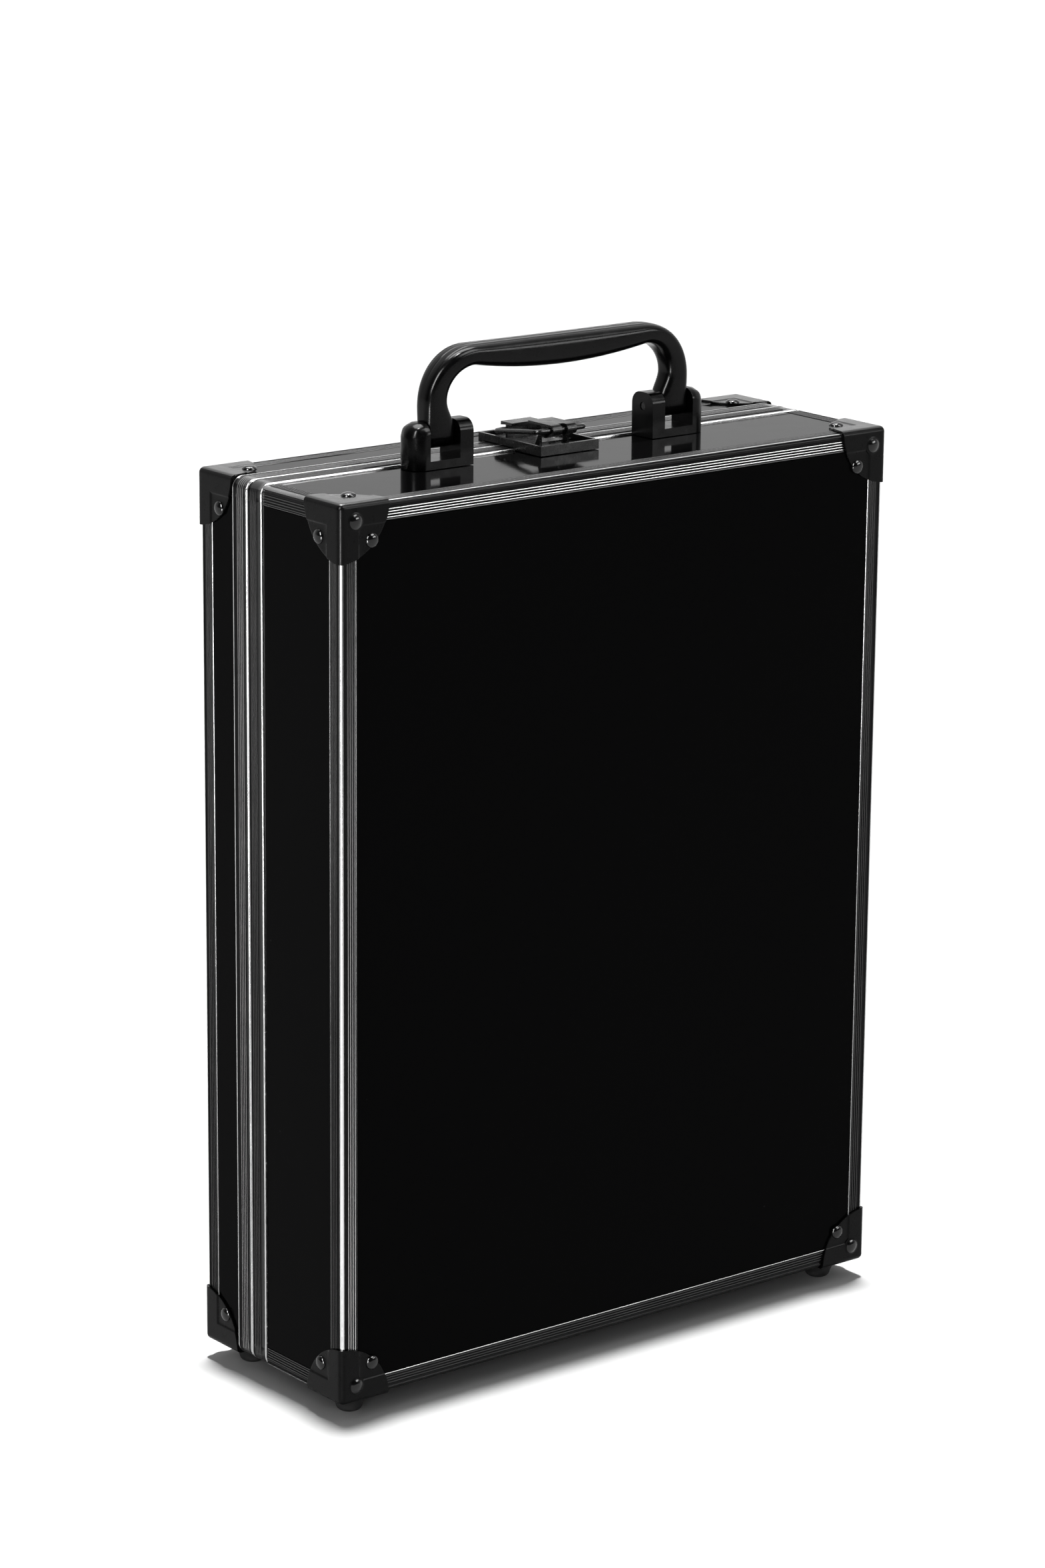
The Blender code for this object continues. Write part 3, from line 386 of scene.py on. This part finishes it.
def add_profile(node, corner, inward, along, mat, body, crests, bead_lit=(1, 7)):
    """A ridged length in place of a CAD profile, as long as it is.

    crests are the materials of the two legs' ridges, the lips and the bead, which paint their
    highlights.
    """
    low, high = (along.dot(v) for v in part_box(node))
    first, second = inward
    base = corner - along * along.dot(corner)
    # Legs on top of the case take the copy painted with a stronger top reflection.
    upper = [leg for leg, other in ((1, second), (2, first)) if other.z < -0.5]
    section = profile_section(upper, bead_lit)
    bm = bmesh.new()
    rings = [[base + first * u + second * v + along * end for u, v, _ in section]
             for end in (low, high)]
    skin(bm, rings, marks=[mark for _, _, mark in section])
    add_piece(node + "_ridged", finish_mesh(bm, node), (mat, *crests, UPPER), body, [node],
              50)


for shell, face, face_y, inward_y in (("body", "front", FRONT, Y), ("lid", "back", BACK, -Y)):
    for side, x in (("left", LEFT), ("right", RIGHT)):
        inward_x = X if x < 0 else -X
        near = (side == "left") == (shell == "body")
        # Painted highlights on the upright profiles: the near ones bright at the foot and fading
        # towards the top, the others dim or middling.
        crests = (FADING, DIM, DIM, BEAD_FADING) if near else (DIM, DIM, MIDDLE, MIDDLE)
        add_profile(f"{shell}_{face}_{side}_profile", Vector((x, face_y, 0)),
                    (inward_x, inward_y), Z, PROFILE_Z, shell, crests)
        for end, z in (("bottom", BOTTOM), ("top", TOP)):
            inward_z = Z if end == "bottom" else -Z
            # Painted highlights on the profiles along the depth: dim crests and lips, a middling
            # bead.
            add_profile(f"{shell}_{end}_{side}_profile", Vector((x, 0, z)),
                        (inward_x, inward_z), Y, PROFILE_Y, shell, (DIM, DIM, DIM, MIDDLE))
    for end, z in (("bottom", BOTTOM), ("top", TOP)):
        inward_z = Z if end == "bottom" else -Z
        # Painted highlights on the profiles along the width: bright along the top, dim along the
        # bottom.
        crests = (BRIGHT, MIDDLE, DIM, BRIGHT) if end == "top" else (DIM, DIM, MIDDLE, DIM)
        add_profile(f"{shell}_{face}_{end}_profile", Vector((0, face_y, z)),
                    (inward_z, inward_y), X, PROFILE_X, shell, crests, (5, 7))


# Rims round the mouth -----------------------------------------------------------------------
def rim_path():
    """(point, outward normal, how much the ridges show) round the mouth, in X and Z."""
    half_x, half_z = RIGHT + RIM_PROUD, (TOP - BOTTOM) / 2 + RIM_PROUD
    middle = Vector((0, 0, (TOP + BOTTOM) / 2))
    before = [(0.008, 1.0), (0.0045, 1.0), (0.0036, 0.85), (0.0028, 0.4), (0.0020, 0.08),
              (0.0012, 0.0)]
    stations = []
    for sx, sz, start in ((1, 1, 0), (-1, 1, 90), (-1, -1, 180), (1, -1, 270)):
        centre = middle + X * sx * (half_x - RIM_CORNER) + Z * sz * (half_z - RIM_CORNER)
        turns = [(0, -run, shown) for run, shown in before]
        turns += [(90 * i / 10, 0, 0) for i in range(11)]
        turns += [(90, run, shown) for run, shown in reversed(before)]
        for turn, run, shown in turns:
            angle = math.radians(start + turn)
            normal = X * math.cos(angle) + Z * math.sin(angle)
            tangent = -X * math.sin(angle) + Z * math.cos(angle)
            stations.append((centre + normal * RIM_CORNER + tangent * run, normal, shown))
    return stations


def rim_relief(low, high, ridge_start, pitch):
    """(y, depth, mark, is part of a ridge) across a rim."""
    edge = [(0.0, 0.0012), (0.0, 0.0003), (0.00012, 0.0001), (0.0004, 0.0), (0.0007, 0.0001),
            (0.0009, 0.00024)]
    points = [(low + y, g, 1 if i < 4 else 0, False) for i, (y, g) in enumerate(edge)]
    for i in range(4):
        crest = ridge(ridge_start + pitch * i, 0.00047, 0.00028)
        points += [(y, g, mark, True) for y, g, mark in marked(crest, 2)]
    back = [(high - y, g) for y, g in reversed(edge)]
    return points + [(y, g, 1 if i > 0 else 0, False) for i, (y, g) in enumerate(back)]


def add_rim(node, ridge_start, pitch, body, crests):
    low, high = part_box(node)[0].y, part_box(node)[1].y
    relief = rim_relief(low, high, ridge_start, pitch)
    deep = WALL + RIM_PROUD
    bm = bmesh.new()
    rings = []
    for place, normal, shown in rim_path():
        ring = [place + Y * y - normal * (g * shown + 0.00020 * (1 - shown) if ridged else g)
                for y, g, _, ridged in relief]
        ring += [place + Y * y - normal * deep for y in (high, low)]
        rings.append(ring)
    skin(bm, rings, loop=True, marks=[mark for _, _, mark, _ in relief] + [0, 0])
    # Faces on top of the rim take the copy painted with a stronger top reflection.
    for face in bm.faces:
        if not face.material_index and face.calc_center_median().z > TOP - 0.002:
            face.material_index = 3
    add_piece(node + "_ridged", finish_mesh(bm, node), (RIM, *crests, UPPER), body, [node],
              50)


BODY_RIM_RIDGES = FRONT + 0.0593        # the first ridge of each rim
LID_RIM_RIDGES = FRONT + 0.0686
LID_RIDGE_PITCH = 0.00124
# Painted highlights on the rims: bright edges, dim ridges on the body rim and middling ones on
# the lid rim.
add_rim("body_rim", BODY_RIM_RIDGES, RIDGE_PITCH, "body", (BRIGHT, DIM))
add_rim("lid_rim", LID_RIM_RIDGES, LID_RIDGE_PITCH, "lid", (BRIGHT, MIDDLE))


# Corner caps --------------------------------------------------------------------------------
CAP_PROUD = 0.0011
CAP_STEP = 0.00045              # how far the cap drops from the profiles to the panels
CAP_SHEET = 0.00085
CAP_ROUNDING = 0.0025
CAP_REACH = 0.0242
CAP_ENDS = 0.0011 + 0.0012      # what the CAD cap's box spans beyond the reach
CREASE = 0.0082                 # where the cap drops from the profiles to the panels
CREASE_LINES = (0.0081, 0.0084, 0.0087, 0.0090, 0.0093)
BOSS_INSET = 0.0068
FACE_RIVETS = (0.0145, 0.0148, 0.0155)  # insets on the side, the top and the large face
BOSS = [(0, -0.0004), (0.0043, -0.0004), (0.0043, -0.00002), (0.0039, 0.00003),
        (0.0035, 0.00014), (0.0031, 0.00034), (0.0026, 0.00062), (0.0020, 0.00088),
        (0.0014, 0.00106), (0.0007, 0.00116), (0, 0.00119)]
BOSS_GLOSS = 5                  # the boss is glossy from this ring to its top
RIVET_RADIUS = 0.0032


def cap_lines(reach):
    """Grid lines from the outer corner to the arc, close together where the sheet bends."""
    radius = reach + CAP_PROUD
    lines = {-CAP_PROUD + CAP_ROUNDING * i / 6 for i in range(7)}
    lines |= {radius * math.sin(math.radians(a)) - CAP_PROUD for a in range(9, 91, 3)}
    lines |= set(CREASE_LINES)
    kept = []
    for line in sorted(lines):
        if not kept or line - kept[-1] > 0.00012:
            kept.append(line)
    kept[-1] = reach
    return kept


def cap_point(face, u, v):
    """A point of the cap's outer skin on one face, in the cap's own frame."""
    first, second = (face + 1) % 3, (face + 2) % 3
    sharp = Vector((0, 0, 0))
    sharp[face], sharp[first], sharp[second] = -CAP_PROUD, u, v
    core = Vector([max(c, CAP_ROUNDING - CAP_PROUD) for c in sharp])
    normal = (sharp - core).normalized()
    inner = min(u, v) - CREASE
    drop = min(max(inner / 0.0010, 0), 1)
    drop = drop * drop * (3 - 2 * drop) * CAP_STEP
    return core + normal * (CAP_ROUNDING - drop)


def cap_mesh(name, corner, axes, reach):
    """Three quarter-round flanges, bent from one sheet. axes are the inward directions."""
    bm = bmesh.new()
    lines = cap_lines(reach)
    radius = reach + CAP_PROUD
    for face in range(3):
        grid = []
        for u in lines:
            across = math.sqrt(max(radius ** 2 - (u + CAP_PROUD) ** 2, 0)) - CAP_PROUD
            grid.append([bm.verts.new(cap_point(face, u, min(v, across))) for v in lines])
        for i in range(len(lines) - 1):
            for j in range(len(lines) - 1):
                bm.faces.new((grid[i][j], grid[i + 1][j], grid[i + 1][j + 1], grid[i][j + 1]))
    bmesh.ops.remove_doubles(bm, verts=bm.verts, dist=0.000004)
    bmesh.ops.dissolve_degenerate(bm, edges=bm.edges, dist=0.000004)
    mesh = finish_mesh(bm, name)
    turn = Matrix(axes).transposed().to_4x4()
    mesh.transform(Matrix.Translation(corner) @ turn)
    inside = sum(axes, Vector())
    if sum(p.normal.dot(inside) * p.area for p in mesh.polygons) > 0:
        mesh.flip_normals()
    # Faces turned up take the cap copy painted lighter and more reflective.
    for polygon in mesh.polygons:
        polygon.material_index = 1 if polygon.normal.z > 0.8 else 0
    return mesh


def cap_details(name, corner, axes, boss_face, rivets):
    bm = bmesh.new()
    for face, spot in enumerate(rivets):
        if not spot:
            continue
        first, second = (face + 1) % 3, (face + 2) % 3
        centre = corner + axes[first] * spot + axes[second] * spot
        normal = -axes[face]
        surface = CAP_PROUD - CAP_STEP
        lathe(bm, centre + normal * surface, normal, dome_profile(RIVET_RADIUS, 0.0015, 0.0004))
    first, second = (boss_face + 1) % 3, (boss_face + 2) % 3
    centre = corner + (axes[first] + axes[second]) * BOSS_INSET - axes[boss_face] * CAP_PROUD
    marks = [1 if i < BOSS_GLOSS else 0 for i in range(len(BOSS))]
    lathe(bm, centre, -axes[boss_face], BOSS, 48, marks)
    return finish_mesh(bm, name)


def sheet_modifiers(obj, thickness, offset=-1.0):
    shell = obj.modifiers.new("sheet", "SOLIDIFY")
    shell.thickness = thickness
    shell.offset = offset
    edge = obj.modifiers.new("edge", "BEVEL")
    edge.width = 0.0002
    edge.segments = 2
    edge.limit_method = "ANGLE"
    edge.angle_limit = math.radians(60)


def add_cap(shell, end, side):
    node = f"{shell}_{end}_{side}_cap"
    x = LEFT if side == "left" else RIGHT
    y, inward_y = (FRONT, Y) if shell == "body" else (BACK, -Y)
    z, inward_z = (BOTTOM, Z) if end == "bottom" else (TOP, -Z)
    axes = (X if x < 0 else -X, inward_z, inward_y)
    corner = Vector((x, y, z))
    low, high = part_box(node)
    reach = min(CAP_REACH, high.y - low.y - CAP_ENDS)
    side_rivet, top_rivet, face_rivet = FACE_RIVETS
    rivets = (side_rivet, None if end == "bottom" else top_rivet, face_rivet)
    mesh = cap_mesh(node, corner, axes, reach)
    obj = add_piece(node + "_sheet", mesh, (CAP, CAP_UPPER), shell, [node], 40)
    sheet_modifiers(obj, CAP_SHEET)
    details = cap_details(node + "_rivets", corner, axes, 2, rivets)
    add_piece(node + "_rivets", details, (RIVET, CAP), shell, [], 50)


for shell in ("body", "lid"):
    for end in ("bottom", "top"):
        for side in ("left", "right"):
            add_cap(shell, end, side)


# Feet ---------------------------------------------------------------------------------------
def add_foot(node, body):
    low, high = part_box(node)
    centre = (low + high) / 2
    radius, height = (high.x - low.x) / 2, high.z - low.z
    side = [(0, 0), (radius, 0), (radius, -0.0008), (radius - 0.0004, -0.0012)]
    tread, round_off = radius - 0.0026, 0.0028
    for i in range(9):
        angle = math.pi / 2 * i / 8
        side.append((tread - round_off + round_off * math.cos(angle),
                     -height + round_off * (1 - math.sin(angle))))
    side += [(0.0024, -height), (0.0022, -height + 0.0008), (0, -height + 0.0009)]
    bm = bmesh.new()
    lathe(bm, Vector((centre.x, centre.y, high.z)), Z, side, 48)
    add_piece(node + "_moulded", finish_mesh(bm, node), RUBBER, body, [node])


for shell in ("body", "lid"):
    for side in ("left", "right"):
        add_foot(f"{shell}_{side}_foot", shell)


# Handle -------------------------------------------------------------------------------------
HANDLE_Y = (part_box("handle_grip")[0].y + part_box("handle_grip")[1].y) / 2
HALF_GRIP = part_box("handle_grip")[1].x
GRIP_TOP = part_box("handle_grip")[1].z - TOP
OUTER_CORNER = 0.025
LEG_WIDTH, LEG_DEPTH, GRIP_DEPTH = 0.0112, 0.0110, 0.0150
PIN_HEIGHT = 0.0134
FLARE = 0.0040
SQUARENESS = 0.6


def smooth(t):
    return t * t * (3 - 2 * t)


def handle_stations():
    """(outer point, inner point, depth, how much the grooves show) along half the handle."""
    corner = Vector((HALF_GRIP - OUTER_CORNER, GRIP_TOP - OUTER_CORNER))
    inner_radius = OUTER_CORNER - LEG_WIDTH
    inner_corner = Vector((HALF_GRIP - LEG_WIDTH - inner_radius,
                           GRIP_TOP - 0.0088 - inner_radius))
    stations = []
    for i in range(18):
        t = i / 18
        belly = 0.0130 - 0.0042 * t * t
        stations.append(((corner.x * t, GRIP_TOP), (corner.x * t, GRIP_TOP - belly),
                         GRIP_DEPTH, 1.0))
    for i in range(21):
        t = i / 20
        angle = math.pi / 2 * (1 - t)
        around = Vector((math.cos(angle), math.sin(angle)))
        stations.append((corner + around * OUTER_CORNER, inner_corner + around * inner_radius,
                         GRIP_DEPTH + (LEG_DEPTH - GRIP_DEPTH) * smooth(t),
                         1 - smooth(min(t / 0.8, 1))))
    low = PIN_HEIGHT + LEG_DEPTH / 4
    for i in range(1, 11):
        t = i / 10
        stations.append(((HALF_GRIP, corner.y + (low - corner.y) * t),
                         (HALF_GRIP - LEG_WIDTH - FLARE * smooth(t),
                          inner_corner.y + (low - inner_corner.y) * t), LEG_DEPTH, 0.0))
    for angle in range(0, 85, 7):
        z = PIN_HEIGHT - LEG_DEPTH / 2 * math.sin(math.radians(angle))
        depth = LEG_DEPTH * math.cos(math.radians(angle))
        stations.append(((HALF_GRIP, z), (HALF_GRIP - LEG_WIDTH - FLARE, z), depth, 0.0))
    return stations


def section_angles():
    """Angles round a section, closer together over the grooved top of the grip."""
    spread = [i / 24 * 0.86 for i in range(-24, 25)]
    over = [math.copysign(math.asin(abs(s) ** (1 / SQUARENESS)), s) for s in spread]
    rest = [over[-1] + (2 * math.pi - 2 * over[-1]) * i / 34 for i in range(1, 34)]
    return over + rest


def groove_depth(y):
    """Three fine grooves that run along the top of the grip."""
    return sum(0.00028 * math.exp(-((y - at) / 0.00030) ** 2) for at in (-0.0036, 0.0, 0.0036))


def section_ring(outer, inner, depth, grooves, angles):
    outer, inner = Vector(outer), Vector(inner)
    middle, half = (outer + inner) / 2, (outer - inner) / 2
    out = half.normalized()
    ring = []
    for angle in angles:
        c, s = math.cos(angle), math.sin(angle)
        across = math.copysign(abs(c) ** SQUARENESS, c)
        along = math.copysign(abs(s) ** SQUARENESS, s) * depth / 2
        place = middle + half * across
        if c > 0.3:
            place -= out * groove_depth(along) * grooves
        ring.append(Vector((place.x, HANDLE_Y + along, TOP + place.y)))
    return ring


def build_handle():
    angles = section_angles()
    right = [section_ring(*station, angles) for station in handle_stations()]
    left = [[Vector((-p.x, p.y, p.z)) for p in ring] for ring in right[:0:-1]]
    bm = bmesh.new()
    skin(bm, left + right)
    add_piece("handle_grip_moulded", finish_mesh(bm, "handle_grip"), PLASTIC, "handle",
              ["handle_grip"], 60)


build_handle()


# Brackets -----------------------------------------------------------------------------------
BRACKET_FLOOR = 0.0036
INNER_EAR = 0.0070
OUTER_EAR = 0.0085


def box_mesh(name, low, high):
    bm = bmesh.new()
    bmesh.ops.create_cube(bm, size=1)
    bmesh.ops.scale(bm, vec=Vector(high) - Vector(low), verts=bm.verts)
    bmesh.ops.translate(bm, vec=(Vector(high) + Vector(low)) / 2, verts=bm.verts)
    return finish_mesh(bm, name)


def cut(obj, name, mesh):
    """Take a mesh away from a piece, once and for all."""
    tool = bpy.data.objects.new(name, mesh)
    bpy.context.scene.collection.objects.link(tool)
    mod = obj.modifiers.new(name, "BOOLEAN")
    mod.operation = "DIFFERENCE"
    mod.object = tool
    mod.solver = "EXACT"
    settle(obj)
    bpy.data.objects.remove(tool)


def settle(obj):
    """Apply a piece's modifiers."""
    bpy.context.view_layer.update()
    evaluated = obj.evaluated_get(bpy.context.evaluated_depsgraph_get())
    mesh = bpy.data.meshes.new_from_object(evaluated)
    obj.modifiers.clear()
    obj.data = mesh


def add_bevel(obj, width, segments, limit="ANGLE", angle=40):
    mod = obj.modifiers.new("round", "BEVEL")
    mod.width = width
    mod.segments = segments
    mod.limit_method = limit
    mod.angle_limit = math.radians(angle)


def build_bracket(side, sx):
    """A forked bracket: bullet-shaped outside, square towards the latch."""
    node = f"handle_{side}_bracket"
    low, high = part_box(node)
    inner, outer = (low.x, high.x) if sx > 0 else (high.x, low.x)
    mesh = box_mesh(node, low, high)
    bm = bmesh.new()
    bm.from_mesh(mesh)
    weights = bm.edges.layers.float.new("bevel_weight_edge")
    for edge in bm.edges:
        middle = (edge.verts[0].co + edge.verts[1].co) / 2
        on_top = middle.z > high.z - 0.001
        on_outside = abs(middle.x - outer) < 0.001
        on_inside = abs(middle.x - inner) < 0.001
        upright = abs(middle.z - (low.z + high.z) / 2) < 0.001
        if on_outside and (upright or on_top):
            edge[weights] = 1.0
        elif on_top and not on_inside:
            edge[weights] = 0.8
    bm.to_mesh(mesh)
    bm.free()
    obj = add_piece(node + "_moulded", mesh, PLASTIC, "body", [node], 0)
    add_bevel(obj, 0.0066, 14, "WEIGHT")
    settle(obj)
    slot = sorted((inner + sx * INNER_EAR, outer - sx * OUTER_EAR))
    cut(obj, "slot", box_mesh("slot", (slot[0], low.y - 0.01, low.z + BRACKET_FLOOR),
                              (slot[1], high.y + 0.01, high.z + 0.01)))
    reach = sorted((inner - sx * 0.001, outer - sx * 0.00035))
    bm = bmesh.new()
    start = Vector((reach[0], HANDLE_Y, TOP + PIN_HEIGHT))
    length = reach[1] - reach[0]
    lathe(bm, start, X, [(0, 0), (0.0018, 0), (0.0018, length), (0, length)], 32)
    cut(obj, "bore", finish_mesh(bm, "bore"))
    obj.data.set_sharp_from_angle(angle=math.radians(35))
    add_bevel(obj, 0.0004, 3)


build_bracket("left", -1)
build_bracket("right", 1)


# Pieces worked up from their CAD solids -----------------------------------------------------
def softened(node, name, mat, body, width, segments=3, angle=40):
    """A copy of a CAD solid with its flat faces joined up and its edges rounded."""
    mesh = frame["nodes"][node].data.copy()
    bm = bmesh.new()
    bm.from_mesh(mesh)
    bmesh.ops.remove_doubles(bm, verts=bm.verts, dist=0.000002)
    bmesh.ops.dissolve_limit(bm, angle_limit=math.radians(1), verts=bm.verts, edges=bm.edges)
    mesh = finish_mesh(bm, name)
    obj = add_piece(name, mesh, mat, body, [node], 30)
    edge = obj.modifiers.new("edge", "BEVEL")
    edge.width = width
    edge.segments = segments
    edge.limit_method = "ANGLE"
    edge.angle_limit = math.radians(angle)
    edge.harden_normals = False
    return obj


for side in ("left", "right"):
    softened(f"hinge_{side}_body_leaf", f"hinge_{side}_body_leaf_pressed", HARDWARE, "body",
             0.0002, 2)
    softened(f"hinge_{side}_lid_leaf", f"hinge_{side}_lid_leaf_pressed", HARDWARE, "lid",
             0.0002, 2)
softened("latch_base", "latch_base_pressed", HARDWARE, "body", 0.00055, 4)
softened("latch_keeper", "latch_keeper_pressed", HARDWARE, "lid", 0.0003)
softened("latch_lever", "latch_lever_pressed", HARDWARE, "lever", 0.00025)


def build_bail():
    """The latch's wire loop, round in section."""
    low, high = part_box("latch_bail")
    pivot = Vector(next(j for j in frame["joints"] if j["child"] == "bail")["pos_m"])
    wire = 0.0011
    half_x = high.x - wire
    back = Vector((0, high.y - wire, low.z + wire))
    run = (back - pivot).length
    along = (back - pivot).normalized()
    across = along.cross(X)
    rings = []
    corner = 0.0026
    for sx, sv, start in ((1, 1, 0), (-1, 1, 90), (-1, -1, 180), (1, -1, 270)):
        centre = X * sx * (half_x - corner) + along * (run / 2 + sv * (run / 2 - corner))
        for i in range(9):
            angle = math.radians(start + 90 * i / 8)
            out = X * math.cos(angle) + along * math.sin(angle)
            middle = pivot + centre + out * corner
            rings.append([middle + (out * math.cos(t) + across * math.sin(t)) * wire
                          for t in (2 * math.pi * k / 20 for k in range(20))])
    bm = bmesh.new()
    skin(bm, rings, loop=True)
    add_piece("latch_bail_wire", finish_mesh(bm, "latch_bail"), HARDWARE, "bail",
              ["latch_bail"])


build_bail()

# Materials on the CAD pieces that stay ------------------------------------------------------
for name, node in frame["nodes"].items():
    if name.endswith("_panel"):
        # The top panel takes the laminate copy painted with a stronger reflection.
        chosen = PANEL_UPPER if "top" in name else PANEL
    elif name.endswith("_lining"):
        chosen = FELT
    elif name.endswith("_pin"):
        chosen = HARDWARE
    else:
        continue
    for place in node.material_slots:
        place.material = chosen

# Floor, light and camera --------------------------------------------------------------------
def build_floor():
    bm = bmesh.new()
    bmesh.ops.create_grid(bm, x_segments=1, y_segments=1, size=30)
    floor = bpy.data.objects.new("floor", finish_mesh(bm, "floor"))
    mat = new_material("floor_paper", (0.86, 0.86, 0.86), 0.9)
    mix_color(mat, noise(mat, 3.0, 2.0), (0.85, 0.85, 0.85), (0.87, 0.87, 0.87))
    floor.data.materials.append(mat)
    bpy.context.scene.collection.objects.link(floor)


def build_world():
    """Bright behind the case, dim in front of it, and white where the camera sees it."""
    world = bpy.data.worlds.new("studio")
    bpy.context.scene.world = world
    world.use_nodes = True
    tree = world.node_tree
    background = tree.nodes["Background"]
    coords = tree.nodes.new("ShaderNodeTexCoord")
    toward = tree.nodes.new("ShaderNodeVectorMath")
    toward.operation = "DOT_PRODUCT"
    toward.inputs[1].default_value = (0.62, 0.78, 0.0)
    tree.links.new(coords.outputs["Generated"], toward.inputs[0])
    ramp = tree.nodes.new("ShaderNodeMapRange")
    for key, value in (("From Min", -0.2), ("From Max", 0.5), ("To Min", 0.04), ("To Max", 1.1)):
        ramp.inputs[key].default_value = value
    tree.links.new(toward.outputs["Value"], ramp.inputs["Value"])
    path = tree.nodes.new("ShaderNodeLightPath")
    level = ramp.outputs["Result"]
    for ray, value in (("Is Diffuse Ray", 0.13), ("Is Camera Ray", 1.0)):
        choose = tree.nodes.new("ShaderNodeMix")
        tree.links.new(path.outputs[ray], choose.inputs["Factor"])
        tree.links.new(level, choose.inputs["A"])
        choose.inputs["B"].default_value = value
        level = choose.outputs["Result"]
    tree.links.new(level, background.inputs["Strength"])
    background.inputs["Color"].default_value = (1, 1, 1, 1)


def aim(obj, place, target):
    obj.location = place
    obj.rotation_mode = "QUATERNION"
    obj.rotation_quaternion = (Vector(target) - Vector(place)).to_track_quat("-Z", "Y")


def add_area(name, place, target, size, energy):
    """A softbox that is seen in reflections and lights nothing else."""
    light = bpy.data.lights.new(name, "AREA")
    light.shape = "RECTANGLE"
    light.size, light.size_y = size
    light.energy = energy
    obj = bpy.data.objects.new(name, light)
    bpy.context.scene.collection.objects.link(obj)
    aim(obj, place, target)
    obj.visible_camera = False
    obj.visible_diffuse = False


def build_lights():
    sun = bpy.data.lights.new("key", "SUN")
    sun.energy = 3.4
    sun.angle = math.radians(2.2)
    key = bpy.data.objects.new("key", sun)
    bpy.context.scene.collection.objects.link(key)
    aim(key, (0.028, 0.038, 2.0), (0, 0, 0))
    add_area("softbox_left", (-1.6, -0.6, 1.5), (0, 0, 0.3), (0.5, 1.2), 100)
    add_area("softbox_front", (0.8, -1.4, 2.1), (0, 0, 0.3), (1.2, 1.2), 70)
    add_area("card_front", (1.1, -1.5, 0.85), (0, 0, 0.4), (0.9, 0.35), 14)
    add_area("softbox_top", (0.3, 0.6, 2.2), (0, 0, 0.4), (1.4, 0.8), 60)
    add_area("card_left", (-0.75, -0.50, 0.16), (-0.14, -0.05, 0.16), (0.16, 0.3), 12)


def build_camera():
    yaw, pitch, roll = math.radians(38.41), math.radians(14.83), math.radians(0.48)
    ahead = Vector((math.sin(yaw) * math.cos(pitch), math.cos(yaw) * math.cos(pitch),
                    -math.sin(pitch)))
    right = Vector((math.cos(yaw), -math.sin(yaw), 0))
    up = right.cross(ahead)
    level_right = right * math.cos(roll) + up * math.sin(roll)
    level_up = up * math.cos(roll) - right * math.sin(roll)
    camera = bpy.data.cameras.new("camera")
    camera.lens = 109.54
    camera.sensor_width = 36
    camera.clip_start, camera.clip_end = 0.05, 100
    obj = bpy.data.objects.new("camera", camera)
    turn = Matrix((level_right, level_up, -ahead)).transposed().to_4x4()
    obj.matrix_world = Matrix.Translation((-1.2711, -1.5857, 0.7876)) @ turn
    bpy.context.scene.collection.objects.link(obj)
    bpy.context.scene.camera = obj


build_floor()
build_world()
build_lights()
build_camera()
bpy.context.scene.view_settings.view_transform = "Standard"

bpy.context.view_layer.update()
